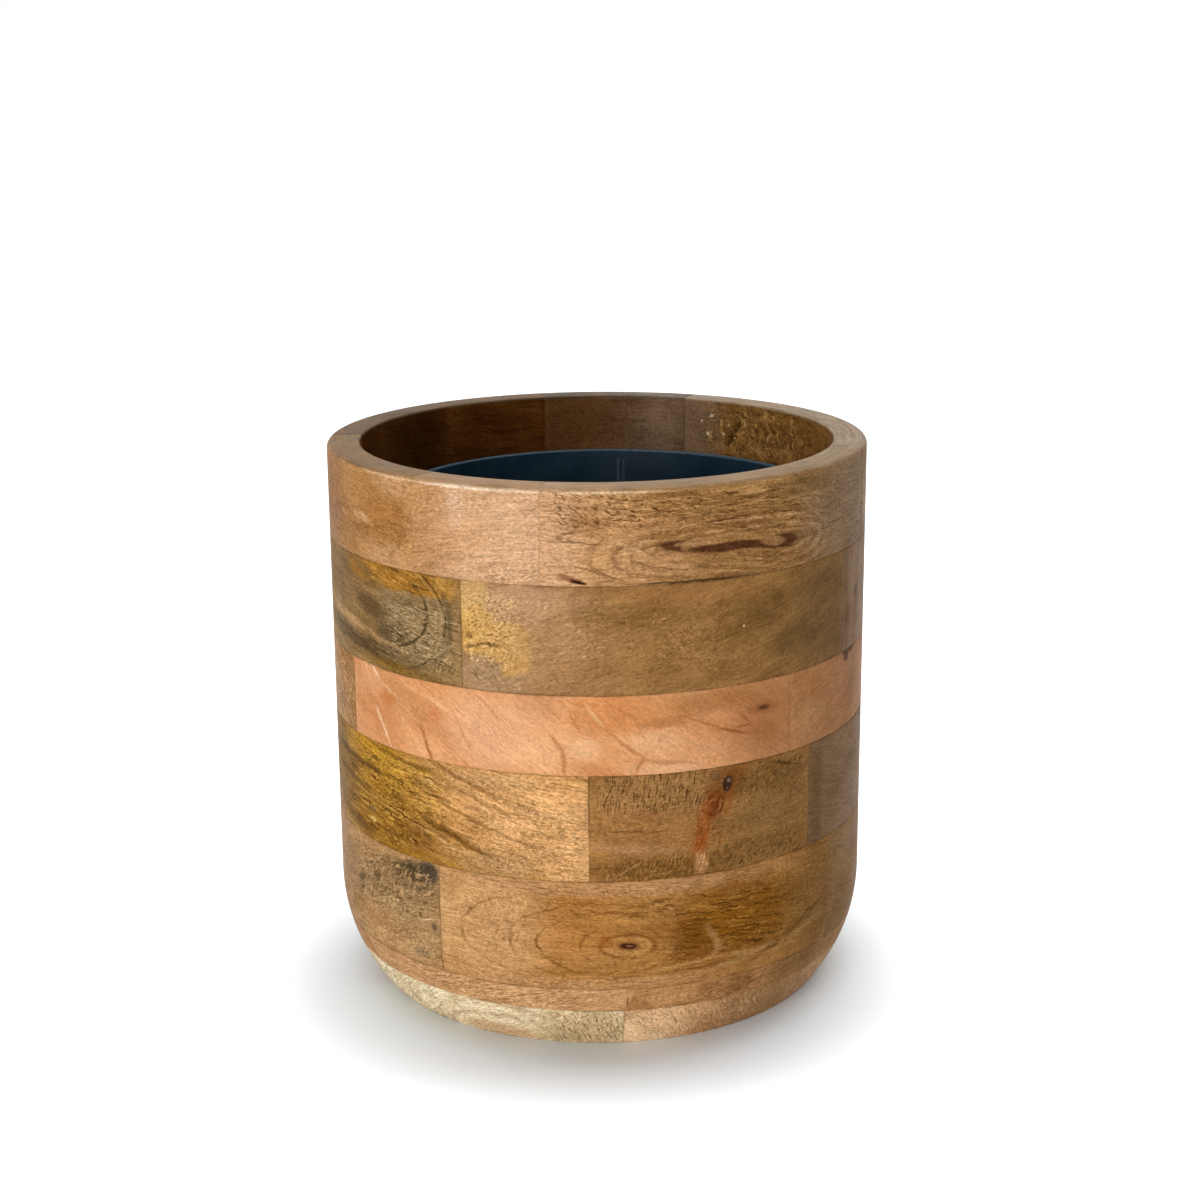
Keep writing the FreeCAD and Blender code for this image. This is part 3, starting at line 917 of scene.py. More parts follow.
LOOKS["second_ring_block_1"] = look(
    (170, 124, 72), (146, 104, 58), (106, 72, 38),
    dict(slope=14, size=14, stretch=2, wander=24, streaks=0.16, speckle=0.3),
    stain(-38, 264, 58, 26, (208, 162, 124), 0.85, 16, soft=0.5),
    cloud(-28, 246, 46, 32, (190, 146, 106), 0.65, 16),
    stain(-58, 226, 50, 26, (176, 140, 106), 0.8, 12, soft=0.4),
    cloud(-20, 220, 60, 12, (178, 134, 92), 0.6, 10),
    *flecked(-58, 225, 44, 22, (206, 168, 124), (110, 80, 50), 0.65, -42, (12, 1.2), 0.58),
    stain(-69, 266, 17, 26, (210, 166, 108), 0.85, 12, soft=0.25, square=0.4),
    stain(-69, 249, 17, 26, (214, 164, 92), 0.9, 12, soft=0.15, square=0.5),
    stain(-51, 243, 26, 22, (212, 162, 94), 0.9, 16, soft=0.15, square=0.3),
    stain(-45, 231, 16, 13, (208, 158, 92), 0.85, 12, soft=0.2, square=0.2),
    stain(-12, 246, 60, 56, (174, 130, 84), 0.65, 22, soft=0.7),
    *flecked(-60, 250, 40, 54, (240, 200, 136), (130, 88, 42), 0.75, 20, (2, 1.2), 0.64, 8),
    streak((-75, 239), (-53, 242.4), 1.8, (96, 66, 34), 0.8, 7),
    stain(-73, 246, 5, 4, (118, 78, 34), 0.7, 5),
    streak((-40, 240), (-21, 247), 1, (210, 170, 120), 0.4, 5),
    *flecked(-24, 250, 84, 48, (212, 168, 122), (134, 96, 58), 0.55, 24, (5, 1), 0.58, 10),
    streak((10, 271), (110, 268), 10, (170, 118, 68), 0.55, 9),
    cloud(14, 259, 56, 13, (128, 90, 44), 0.55, 14),
    cloud(72, 243, 28, 16, (116, 80, 38), 0.45, 14),
    cloud(70, 258, 18, 10, (122, 84, 44), 0.45, 12),
    cloud(98, 256, 34, 22, (110, 76, 38), 0.6, 16),
    cloud(120, 235, 40, 14, (110, 82, 44), 0.55, 14),
    stain(150, 245, 60, 70, (122, 92, 58), 0.6, 18, soft=0.5),
    *flecked(30, 246, 120, 56, (196, 148, 90), (104, 70, 34), 0.55, 28, (4, 1), 0.56, 10),
    *flecked(44, 244, 26, 32, (196, 150, 96), (92, 60, 28), 0.55, -58, (5, 1.1), 0.52, 5),
    streak((40, 247), (52, 232), 1, (190, 146, 94), 0.3, 5),
    stain(83, 248.2, 0.9, 1.2, FLECK, 0.9, 0.4),
    stain(35.6, 236.4, 0.8, 0.9, FLECK, 0.4, 0.4),
    streak((20, 277), (90, 276.4), 1.6, (70, 44, 22), 0.8),
)
LOOKS["second_ring_block_2"] = look(
    (170, 134, 102), (150, 116, 86), (108, 80, 56),
    dict(slope=80, size=9, stretch=4, streaks=0.3, glue=0.4),
    cloud(174, 245, 9, 66, (128, 94, 60), 0.6, 6),
    cloud(176, 236, 10, 12, (116, 80, 46), 0.6, 6),
    stain(193, 247, 7, 7, (98, 78, 60), 0.6),
)
LOOKS["third_ring_block_1"] = look(
    (234, 170, 119), (220, 149, 95), (182, 112, 60),
    dict(
        slope=-32, size=26, stretch=1.7, wander=30, streaks=0.1, lines=0, gap=9, speckle=0.2, fibre=0.18,
        pores=0, glue=0.3, ends=0.04,
    ),
    cloud(-150, 188, 50, 34, (212, 142, 92), 0.6, 16),
    streak((-140, 212), (-84, 184), 15, (196, 130, 80), 0.6, 12),
    cloud(-134, 199, 14, 8, (206, 124, 66), 0.6, 7),
    cloud(-97, 196, 7, 8, (208, 122, 72), 0.6, 6),
    cloud(-158, 204, 30, 14, (228, 166, 120), 0.6, 12),
    cloud(-62, 192, 54, 40, (240, 182, 140), 0.65, 16),
    cloud(-34, 208, 26, 16, (210, 150, 110), 0.5, 10),
    cloud(10, 204, 56, 20, (216, 138, 78), 0.7, 12),
    cloud(-32, 182, 38, 18, (244, 186, 136), 0.7, 12),
    cloud(-8, 185, 18, 12, (242, 188, 142), 0.65, 9),
    cloud(30, 188, 30, 14, (236, 182, 134), 0.6, 10),
    cloud(36, 173, 40, 8, (236, 182, 136), 0.6, 7),
    streak((-150, 215.6), (-142, 209.6), 2, (250, 212, 166), 0.85, 5),
    streak((-142, 207.6), (-124, 200.6), 2, (236, 182, 134), 0.6, 6),
    streak((-146, 191), (-140, 182), 2.4, (246, 204, 160), 0.75, 5),
    streak((-141, 184), (-133, 172), 2, (246, 204, 160), 0.75, 5),
    streak((-122, 213), (-110, 207), 2.4, (236, 182, 134), 0.55, 6),
    streak((-106, 207.6), (-84, 199), 2.2, (238, 186, 138), 0.65, 7),
    streak((-126, 200), (-108, 190), 1.8, (230, 172, 124), 0.5, 6),
    streak((-109, 190), (-103, 181), 2, (172, 100, 48), 0.7, 5),
    streak((-105, 182), (-99, 169), 2.6, (164, 92, 42), 0.8, 5),
    streak((-84, 199), (-72, 179), 1.6, (198, 132, 84), 0.55, 7),
    streak((-70, 213), (-54, 199), 1.5, (200, 134, 88), 0.5, 7),
    streak((-160, 187), (-146, 185), 1.4, (190, 118, 70), 0.5, 5),
    streak((-27, 193), (-20, 183), 2.4, (190, 118, 70), 0.7, 5),
    streak((-20, 185), (-18.6, 170), 2.6, (190, 118, 70), 0.7, 5),
    streak((-16, 205), (-10, 194), 1.8, (188, 112, 60), 0.55, 6),
    streak((-7, 210), (2, 199), 2.2, (240, 190, 136), 0.6, 6),
    streak((1, 198), (14, 187), 1.8, (186, 112, 62), 0.65, 5),
    streak((12, 188), (24, 180), 2, (180, 108, 58), 0.7, 5),
    streak((25, 181), (20, 171), 2.2, (184, 112, 62), 0.65, 5),
    streak((25, 178), (52, 174), 2.2, (188, 118, 68), 0.6, 6),
    streak((8, 209), (26, 197), 2, (184, 116, 66), 0.55, 7),
    cloud(36, 199, 24, 6, (178, 118, 68), 0.65, 8),
    cloud(66, 208, 60, 13, (176, 118, 66), 0.75, 10),
    cloud(86, 209, 10, 8, (212, 148, 92), 0.5, 6),
    cloud(106, 192, 66, 56, (180, 118, 72), 0.75, 18),
    *flecked(60, 192, 70, 40, (226, 168, 118), (178, 116, 68), 0.4, 24, (3.6, 1), 0.52, 5),
    *flecked(-60, 192, 200, 42, (242, 190, 146), (198, 134, 86), 0.3, -30, (3.6, 1), 0.5, 5),
    streak((48, 201), (72, 190.6), 1.2, (160, 96, 50), 0.65),
    streak((68, 191.6), (87, 186.4), 1.6, (152, 88, 42), 0.75),
    streak((80, 199), (88, 192), 1.3, (158, 94, 48), 0.65),
    streak((76, 190.6), (89, 191.6), 1.2, (158, 94, 48), 0.6),
    stain(97, 199.4, 22, 7, (156, 98, 56), 0.65, 6, soft=0.7),
    cloud(97, 199.6, 8, 2.8, (86, 50, 26), 0.85, 3),
    cloud(98, 186, 16, 12, (172, 106, 58), 0.5, 9),
)
LOOKS["third_ring_block_2"] = look(
    (198, 139, 93), (184, 127, 83), (148, 98, 62),
    dict(
        slope=14, size=16, stretch=2.2, streaks=0.12, speckle=0.26, fibre=0.15, pores=0, glue=0.2, ends=0,
    ),
    cloud(132, 204, 30, 16, (192, 126, 76), 0.5, 10),
    cloud(136, 188, 30, 14, (204, 150, 100), 0.5, 10),
    cloud(186, 200, 16, 34, (164, 120, 92), 0.5, 8),
    stain(181, 214, 20, 4.4, (92, 64, 50), 0.8),
    stain(177, 211, 7, 6, (88, 56, 44), 0.8),
)
LOOKS["third_ring_block_5"] = look(
    (186, 138, 88), (158, 112, 66), (106, 70, 36),
    dict(slope=-24, size=7, stretch=2.2, wander=22, streaks=0.4, speckle=0.5),
    *flecked(-190, 192, 40, 44, (216, 170, 118), (104, 70, 38), 0.7, -52, (7, 2), 0.62, 6),
)
LOOKS["fourth_ring_block_5"] = look(
    (190, 138, 52), (162, 110, 32), (98, 62, 12),
    dict(
        slope=-9, size=5, stretch=10, wander=12, streaks=0.45, lines=0.1, gap=7, speckle=0.5, fibre=0.4,
        pores=0.15,
    ),
    cloud(-212, 140, 70, 76, (124, 94, 52), 0.75, 14),
    stain(-136, 159, 74, 18, (196, 144, 44), 0.7, 12, soft=0.5, slope=-5),
    cloud(-118, 122, 88, 26, (132, 87, 32), 0.75, 18, slope=-6),
    stain(-36, 147, 138, 88, (226, 169, 110), 0.92, 46, soft=0.7, slope=-24),
    cloud(-60, 114, 50, 14, (178, 138, 94), 0.55, 12),
    cloud(-60, 163, 50, 8, (200, 156, 112), 0.5, 8),
    ticks(-142, 140, 130, 64, (92, 58, 12), 0.85, -8, (22, 1.7), 0.68, 6),
    ticks(-140, 142, 130, 64, (218, 166, 72), 0.6, -8, (12, 1.3), 0.6, 6),
    *flecked(-130, 145, 100, 46, (226, 176, 84), (104, 66, 16), 0.5, 24, (3, 1.2), 0.6, 6),
    streak((-212, 155), (-140, 152), 4.4, (96, 62, 18), 0.8, 6),
    streak((-212, 142.5), (-150, 138), 4.4, (100, 66, 20), 0.75, 6),
    streak((-200, 118), (-150, 112), 6, (106, 70, 28), 0.75, 7),
    streak((-150, 168), (-96, 161), 2.4, (104, 68, 20), 0.75, 6),
    streak((-104, 170), (-62, 156), 2.6, (128, 84, 36), 0.7, 6),
    streak((-64, 157), (-22, 142), 3.6, (170, 118, 70), 0.65, 8),
    streak((-84, 147), (-54, 143), 2.4, (172, 122, 76), 0.6, 7),
    streak((-98, 135), (-66, 119), 4, (142, 94, 46), 0.6, 9),
    *flecked(-36, 132, 90, 60, (242, 198, 146), (140, 94, 50), 0.65, 40, (4.6, 1.1), 0.64, 28),
    *flecked(-68, 158, 110, 20, (232, 184, 122), (124, 80, 34), 0.5, -14, (7, 1.1), 0.58, 30),
    streak((-124, 141), (-58, 117), 3.4, (110, 70, 22), 0.75, 8),
    streak((-112, 152), (-44, 129), 2.6, (124, 80, 34), 0.65, 9),
    streak((-98, 161), (-36, 141), 2, (138, 92, 46), 0.6, 9),
    *flecked(-26, 132, 44, 50, (234, 186, 128), (158, 106, 54), 0.5, -18, (3, 1.2), 0.56, 6),
    streak((-182, 137.4), (-146, 134), 1.2, (204, 156, 88), 0.5, 7),
    streak((-144, 133.6), (-128, 131.6), 1.2, (208, 160, 92), 0.6, 5),
    streak((-118, 129.6), (-100, 125.4), 1.2, (208, 158, 96), 0.5, 6),
    streak((-97, 124), (-80, 118.6), 1.4, (220, 174, 124), 0.6, 6),
    stain(-154, 121, 7, 3.4, (212, 172, 96), 0.75, 5),
    stain(-154, 127, 8, 5, (112, 84, 44), 0.7, 6),
    *flecked(-126, 116, 40, 10, (218, 172, 92), (112, 72, 26), 0.65, -30, (7, 1.8), 0.6, 5),
    stain(-9.5, 138, 6, 60, (212, 160, 106), 0.6, 3, square=0.5),
)
LOOKS["fourth_ring_block_1"] = look(
    (174, 124, 70), (154, 107, 58), (98, 65, 30),
    dict(
        slope=3, size=9, stretch=3, wander=16, streaks=0.16, speckle=0.4, fibre=0.2, pores=0.05, glue=0.5,
    ),
    stain(30, 157, 70, 24, (172, 126, 76), 0.7, 10, soft=0.5),
    cloud(104, 138, 60, 28, (142, 106, 64), 0.6, 14),
    cloud(26, 134, 60, 18, (168, 118, 68), 0.6, 12),
    streak((-4, 128.5), (42, 125), 5, (186, 138, 94), 0.65, 6),
    streak((16, 147), (40, 147.6), 4, (164, 106, 68), 0.5, 6),
    streak((0, 138), (40, 136), 1.4, (104, 72, 38), 0.5, 5),
    ticks(30, 159, 80, 30, (70, 45, 20), 0.85, 80, (6.5, 1), 0.66, 5),
    ticks(32, 160, 76, 24, (204, 158, 102), 0.45, 80, (5, 1.1), 0.56, 5),
    stain(73, 161, 24, 18, (118, 76, 38), 0.7, 8, soft=0.5),
    stain(104, 158, 56, 20, (120, 84, 42), 0.6, 12, soft=0.5),
    *flecked(104, 158, 62, 26, (168, 126, 76), (72, 48, 22), 0.7, 50, (5, 1.1), 0.62, 8),
    stain(33, 114, 76, 14, (122, 80, 32), 0.85, 8, soft=0.5),
    stain(94, 116, 70, 14, (126, 88, 44), 0.6, 8, soft=0.5),
    *flecked(25, 114, 70, 22, (184, 138, 84), (78, 52, 22), 0.7, 64, (3.6, 1), 0.64, 6),
    *flecked(94, 116, 80, 22, (166, 124, 74), (74, 50, 24), 0.7, 60, (3.8, 1), 0.64, 6),
    *flecked(64, 136, 130, 40, (176, 130, 78), (116, 80, 42), 0.35, 20, (4, 1), 0.54, 6),
    streak((84, 172), (70, 150), 11, (144, 84, 38), 0.6, 10, soft=0.7),
    streak((76, 154), (72.5, 140), 3.4, (156, 88, 38), 0.6, 5),
    streak((66, 156), (60, 138), 12, (152, 80, 34), 0.7, 9),
    streak((60, 142), (55.5, 119), 9, (168, 88, 36), 0.8, 7, soft=0.5),
    streak((59, 132), (56, 121), 4, (146, 76, 26), 0.6, 5),
    oval_line(65.6, 148, 9.6, 13, (104, 40, 12), 0.85, 2.6, 4, slope=-20),
    streak((68.5, 153), (66, 144), 2.2, (98, 38, 12), 0.75),
    stain(63.6, 143, 5, 3, (104, 44, 14), 0.8, 3),
    ticks(62, 138, 22, 40, (104, 50, 18), 0.65, 74, (7, 1.2), 0.6, 4),
    ticks(63, 138, 22, 40, (206, 142, 84), 0.5, 74, (7, 1.2), 0.55, 4),
    stain(73.4, 159.2, 6, 9.4, (56, 36, 24), 0.95, 3, slope=-14),
    stain(74.2, 161, 2.4, 2.8, (150, 122, 106), 0.7, 1.8),
    stain(73, 156.8, 1.5, 1.4, (120, 94, 80), 0.6, 1),
    stain(65.5, 148, 4.2, 7.5, (100, 44, 16), 0.75, 3, soft=0.5, slope=-20),
    oval_line(65.5, 165, 6, 5, (82, 56, 32), 0.6, 1.2, 4),
    stain(65.5, 165, 4, 3, (126, 98, 68), 0.5, 3),
    stain(57, 115, 7.6, 12, (206, 150, 98), 0.75, 6, soft=0.5),
    *flecked(57, 116, 10, 16, (230, 180, 128), (146, 86, 42), 0.7, 82, (5, 1.2), 0.62, 3),
    streak((101, 167), (124, 160.5), 1.5, (74, 48, 22), 0.75, 4),
    streak((10, 112), (24, 119), 1.2, (196, 150, 94), 0.5, 5),
    streak((132.4, 168), (132.4, 110), 1.6, (164, 126, 82), 0.6, 2),
)
LOOKS["fourth_ring_block_2"] = look(
    (156, 120, 84), (140, 106, 72), (104, 76, 48),
    dict(slope=-14, size=12, stretch=3, streaks=0.15, speckle=0.28, fibre=0.2, pores=0.05, glue=0.5),
    stain(141, 138, 14, 66, (118, 88, 56), 0.7, 7, soft=0.4, square=0.4),
)
LOOKS["fifth_ring_block_5"] = look(
    (198, 152, 102), (174, 130, 82), (120, 86, 50),
    dict(slope=12, size=8, stretch=2.8, wander=20, streaks=0.25, speckle=0.46),
    cloud(-208, 80, 60, 60, (150, 114, 76), 0.6, 16),
    stain(-132, 86, 88, 34, (146, 116, 80), 0.75, 22, soft=0.5, slope=12),
    cloud(-114, 64, 36, 34, (174, 140, 98), 0.6, 14),
    stain(-117, 100, 24, 12, (74, 61, 44), 0.9, 12, soft=0.4, slope=10),
    stain(-104, 101, 15, 13, (70, 60, 48), 0.95, 8, soft=0.35, slope=-30),
    stain(-128, 98, 12, 9, (92, 74, 46), 0.7, 9, soft=0.5),
    cloud(-110, 90, 24, 8, (108, 86, 58), 0.6, 10),
    *flecked(-138, 86, 96, 42, (210, 166, 114), (78, 60, 34), 0.8, 38, (5, 1.3), 0.64, 12),
    *flecked(-118, 96, 34, 22, (196, 156, 106), (66, 52, 34), 0.55, 55, (6, 1.2), 0.56, 8),
    stain(-152, 87.5, 9, 4, (84, 66, 40), 0.75, 8, slope=12),
    stain(-172, 79, 9, 4, (92, 72, 42), 0.6, 8, slope=15),
    stain(-101.5, 69.5, 5, 5.4, (104, 82, 66), 0.8, 5, soft=0.5),
    streak((-112, 71), (-102, 74), 1.2, (228, 192, 142), 0.7),
    streak((-124, 77), (-98, 81), 1, (214, 174, 122), 0.6),
    cloud(-113, 51, 11, 6.5, (124, 106, 84), 0.7, 7),
    cloud(-160, 61, 12, 6, (176, 126, 66), 0.6, 6),
    cloud(-150, 50, 60, 10, (210, 164, 112), 0.6, 10),
    *flecked(-140, 60, 90, 30, (216, 172, 120), (146, 104, 62), 0.5, 24, (5, 1.3), 0.56, 6),
)
LOOKS["fifth_ring_block_1"] = look(
    (188, 134, 76), (164, 110, 54), (104, 64, 20),
    dict(
        slope=-3, size=7, stretch=7, wander=18, streaks=0.24, lines=0.06, speckle=0.38, fibre=0.3,
        pores=0.05, ends=0.08,
    ),
    stain(-66, 76, 68, 70, (210, 160, 108), 0.85, 18, soft=0.5),
    stain(-93.2, 76, 7.2, 66, (208, 160, 108), 0.75, 3, square=0.6),
    *flecked(-56, 80, 40, 44, (228, 180, 128), (152, 102, 56), 0.55, 78, (4.4, 1.1), 0.56, 6),
    stain(-20, 103.6, 220, 9, (196, 146, 98), 0.75, 6, soft=0.4, square=0.3),
    stain(-30, 46, 170, 8, (196, 146, 96), 0.75, 6, soft=0.4, square=0.3),
    *flecked(10, 103.4, 260, 8, (220, 172, 122), (136, 92, 52), 0.6, -4, (7, 1.2)),
    *flecked(10, 46, 220, 7, (218, 170, 120), (146, 100, 58), 0.5, -3, (8, 1.1), 0.56),
    cloud(-6, 80, 60, 36, (182, 124, 63), 0.6, 16),
    cloud(14, 62, 60, 14, (184, 132, 74), 0.5, 12),
    cloud(86, 78, 96, 44, (134, 82, 14), 0.85, 18),
    ticks(82, 79, 104, 48, (84, 50, 8), 0.8, -7, (20, 1.7), 0.66, 8),
    ticks(84, 78, 104, 48, (188, 136, 64), 0.6, -7, (18, 1.4), 0.6, 8),
    ticks(10, 92, 90, 14, (112, 70, 24), 0.7, -4, (16, 1.3), 0.62, 8),
    ticks(12, 90, 90, 14, (204, 150, 86), 0.5, -4, (16, 1.3), 0.56, 8),
    oval_line(15, 69.5, 31, 14, (126, 74, 28), 0.75, 2.2, 3.5),
    oval_line(15, 69.5, 24, 10.5, (200, 146, 86), 0.5, 2, 3),
    oval_line(12, 69.5, 48, 24, (118, 70, 26), 0.6, 1.3, 7),
    oval_line(4, 71, 80, 37, (116, 68, 24), 0.8, 1.4, 10),
    oval_line(-2, 72, 100, 45, (120, 74, 30), 0.75, 1.4, 11),
    oval_line(-12, 74, 140, 55, (130, 84, 38), 0.7, 1.4, 12),
    cloud(3, 72, 8, 7, (156, 86, 30), 0.6, 5),
    stain(15.5, 69.5, 12, 5, (96, 52, 22), 0.85, 2.6, soft=0.45, slope=-4),
    stain(15.5, 69.6, 8.6, 3, (52, 26, 12), 0.9, 1.6, slope=-4),
    stain(16, 69.6, 4.4, 1.3, (150, 98, 72), 0.65, 0.9, slope=-4),
    stain(52, 68, 20, 24, (118, 70, 12), 0.6, 14, soft=0.7),
    streak((61, 77), (70, 62), 4.6, (182, 134, 80), 0.7, 7),
    streak((71, 64), (62, 57), 3.4, (190, 142, 88), 0.65, 6),
    streak((28, 54), (66, 57), 2, (202, 152, 92), 0.65, 5),
    streak((62, 57), (104, 55.6), 2.2, (192, 142, 84), 0.65, 5),
    streak((40, 52), (104, 53.6), 1.4, (98, 60, 18), 0.65, 5),
    cloud(144, 74, 50, 70, (142, 101, 54), 0.75, 20),
    streak((56, 49), (118, 58), 4, (186, 140, 86), 0.6, 7),
    streak((90, 49), (150, 72), 3, (104, 68, 30), 0.55, 8),
    streak((100, 48), (156, 66), 3.4, (178, 134, 84), 0.55, 8),
    *flecked(126, 76, 44, 44, (176, 134, 82), (104, 72, 34), 0.45, 20, (7, 1.3), 0.54, 8),
)
LOOKS["fifth_ring_block_2"] = look(
    (164, 122, 77), (149, 109, 65), (112, 80, 44),
    dict(slope=-10, size=12, stretch=3, streaks=0.2, speckle=0.3, ends=0),
)
LOOKS["foot_ring_block_5"] = look(
    (248, 226, 188), (228, 200, 158), (172, 138, 96),
    dict(slope=26, size=7, stretch=4, wander=26, streaks=0.3, lines=0.08, gap=6, speckle=0.42),
    ticks(-140, 16, 100, 34, (184, 150, 106), 0.45, 34, (13, 1.4), 0.6, 6),
    ticks(-138, 16, 100, 34, (255, 244, 210), 0.8, 34, (13, 1.5), 0.66, 6),
    ticks(-84, 18, 90, 22, (180, 146, 102), 0.45, 20, (11, 1.2), 0.58, 6),
    ticks(-82, 18, 90, 22, (255, 242, 206), 0.75, 20, (11, 1.3), 0.62, 6),
    oval_line(-68, 0, 66, 28, (252, 234, 194), 0.8, 3.6, 5),
    oval_line(-68, 0, 78, 36, (178, 142, 98), 0.55, 2.4, 6),
    oval_line(-66, 0, 92, 46, (250, 230, 190), 0.7, 3, 6),
    oval_line(-66, 0, 104, 54, (174, 138, 94), 0.5, 2.2, 6),
    stain(-68, 4, 50, 14, (212, 172, 128), 0.7, 8, soft=0.5),
    streak((-52, 20), (-38, 9), 3, (254, 238, 196), 0.75, 5),
    cloud(-8, 14, 54, 34, (204, 172, 126), 0.7, 12),
    *flecked(-8, 14, 54, 30, (236, 206, 156), (118, 90, 50), 0.8, -68, (5, 1.4), 0.66),
)
LOOKS["foot_ring_block_1"] = look(
    (226, 176, 128), (208, 157, 109), (162, 116, 72),
    dict(slope=-52, size=6, stretch=4, streaks=0.2, speckle=0.4),
    cloud(30, 10, 44, 28, (255, 222, 178), 0.85, 10),
    cloud(36, 18, 44, 20, (240, 192, 142), 0.6, 12),
    cloud(110, 20, 90, 40, (150, 108, 62), 0.6, 16),
    *flecked(66, 14, 120, 30, (238, 192, 144), (146, 98, 56), 0.6, -56, (6, 1.3), 0.6, 5),
    streak((45, 18), (47.4, 14), 1.5, (112, 70, 38), 0.7, 2),
)
LOOKS["base_plank_1"] = look(
    (214, 164, 114), (196, 146, 98), (148, 102, 58),
    dict(slope=6, size=3.6, stretch=8, streaks=0.35, lines=0.06, speckle=0.4),
    *flecked(-70, 35, 170, 16, (236, 192, 144), (140, 94, 52), 0.65, 16, (7, 1.2), 0.62),
    streak((15.4, 38), (15.4, 27), 1, (92, 58, 28), 0.8, 1.5),
)
LOOKS["base_plank_2"] = look(
    (196, 142, 90), (172, 120, 72), (116, 76, 38),
    dict(slope=8, size=4, stretch=4, streaks=0.3, speckle=0.42),
    *flecked(64, 35, 110, 14, (220, 168, 114), (112, 74, 38), 0.65, 26, (4.6, 1.4), 0.62),
    cloud(36, 36, 34, 14, (206, 154, 100), 0.5, 8),
    cloud(86, 36, 18, 12, (124, 84, 44), 0.6, 8),
    cloud(62, 37, 12, 7, (150, 102, 58), 0.6, 5),
    cloud(130, 36, 50, 18, (128, 92, 52), 0.6, 10),
)

# Tones for the blocks that turn away from the front, one after the other
QUIET_LOOKS = (
    look(
        (176, 130, 86), (152, 108, 68), (98, 64, 36),
        dict(size=9, stretch=6, streaks=0.4, lines=0.15, speckle=0.35),
    ),
    look(
        (160, 122, 84), (136, 102, 68), (88, 64, 42),
        dict(size=11, slope=6, streaks=0.35, speckle=0.4),
    ),
    look(
        (190, 140, 92), (166, 116, 70), (112, 72, 38),
        dict(size=10, slope=-8, speckle=0.35),
    ),
    look(
        (170, 132, 92), (146, 112, 74), (100, 74, 48),
        dict(size=7, stretch=7, slope=3, streaks=0.45, lines=0.2),
    ),
)
PINK_LOOK = look(
    (228, 166, 122), (206, 142, 98), (154, 96, 60),
    dict(slope=-20, size=18, stretch=2.4, wander=22, streaks=0.12, speckle=0.22, pores=0.04),
)
PALE_LOOK = look(
    (226, 186, 142), (202, 158, 114), (150, 108, 70),
    dict(slope=30, size=8, stretch=4, wander=18, speckle=0.4),
)


# Materials


def place_group(tree, effect, values):
    """Puts a shared effect in a material; returns its outputs."""
    return add_node(tree, "ShaderNodeGroup", values, node_tree=EFFECTS[effect]).outputs


def start_material(name):
    """New material, its tree and the sockets of its shader."""
    material = bpy.data.materials.new(name)
    material.use_nodes = True
    tree = material.node_tree
    return material, tree, tree.nodes["Principled BSDF"].inputs


def finish_shader(shader, colour, finish, gloss, bump, relief):
    """Feeds the shader with a colour, and with the roughness and the height of a finish."""
    raised = {"Strength": bump, "Distance": relief, "Height": finish["Height"]}
    feed_all(
        shader,
        {
            "Base Color": colour,
            "Roughness": finish["Roughness"],
            "Specular IOR Level": gloss,
            "Normal": join_node("ShaderNodeBump", raised)["Normal"],
        },
    )


def wood_material(node, style, middle, seed, extent, inner_edge, open_top=False):
    """Rubbed wood for one block; extent is its ends and beds in millimetres, for the glue lines."""
    material, tree, shader = start_material(f"{node} wood")
    spot = place_group(tree, "place", {"Middle": middle})
    place = spot["Place"]
    body = place_group(tree, "body", {"Place": place, "Seed": seed, **style["body"]})
    colour = body["Color"]
    for effect, values in style["marks"]:
        colour = place_group(tree, effect, {"Color": colour, "Place": place, **values})["Color"]
    grain = {"Color": colour, "Grain Place": body["Grain Place"], **style["fibre"]}
    fibre = place_group(tree, "fibre", grain)
    glue = {"Mark": GLUE, "Amount": style["glue"], "End Amount": style["ends"]}
    glue.update(zip(("From", "To", "Low", "High"), extent))
    colour = place_group(tree, "edges", {"Color": fibre["Color"], "Place": place, **glue})["Color"]
    # Painted shade on the inner faces
    painted_inner_shade = {"Radius": spot["Radius"], "Edge": inner_edge, "Depth": style["painted_inner_shade"]}
    colour = place_group(tree, "painted_inner_shade", {"Color": colour, "Place": place, **painted_inner_shade})["Color"]
    # Painted sheen that greys a rim block's top face
    if open_top:
        painted_sheen = {"Color": colour, "Place": place, "Top": extent[-1], "Sheen Tone": style["top"]}
        top = place_group(tree, "top", painted_sheen)
        colour = top["Color"]
        feed_all(shader, {"Coat Weight": top["Polish"], "Coat Roughness": TOP_POLISH_ROUGHNESS})
    satin = place_group(tree, "satin", {"Place": place, "Grain": fibre["Height"]})
    finish_shader(shader, colour, satin, WOOD_GLOSS, WOOD_BUMP, WOOD_RELIEF)
    return material


def liner_material():
    """Dark blue-black moulded plastic."""
    material, tree, shader = start_material("liner plastic")
    plastic = place_group(tree, "plastic", {"Dark": LINER_DARK, "Pale": LINER_PALE})
    finish_shader(shader, plastic["Color"], plastic, LINER_GLOSS, LINER_BUMP, LINER_RELIEF)
    return material


# Modelling


def deselect_all():
    bpy.ops.object.select_all(action="DESELECT")


def turned_radius(height):
    """Outer radius of the wood at a height."""
    below = max(SHOULDER - height, 0.0)
    return OUTER_RADIUS - ROUNDING + math.sqrt(ROUNDING**2 - below**2)


def choose(piece, kind, passes):
    """Selects in edit mode the points that pass the test, or the edges whose two ends do."""
    bpy.ops.object.mode_set(mode="EDIT")
    bpy.ops.mesh.select_mode(type=kind)
    bpy.ops.mesh.select_all(action="DESELECT")
    bpy.ops.object.mode_set(mode="OBJECT")
    chosen = [passes(vertex.co) for vertex in piece.data.vertices]
    if kind == "VERT":
        for vertex in piece.data.vertices:
            vertex.select = chosen[vertex.index]
    else:
        for edge in piece.data.edges:
            edge.select = all(chosen[index] for index in edge.vertices)
    bpy.ops.object.mode_set(mode="EDIT")


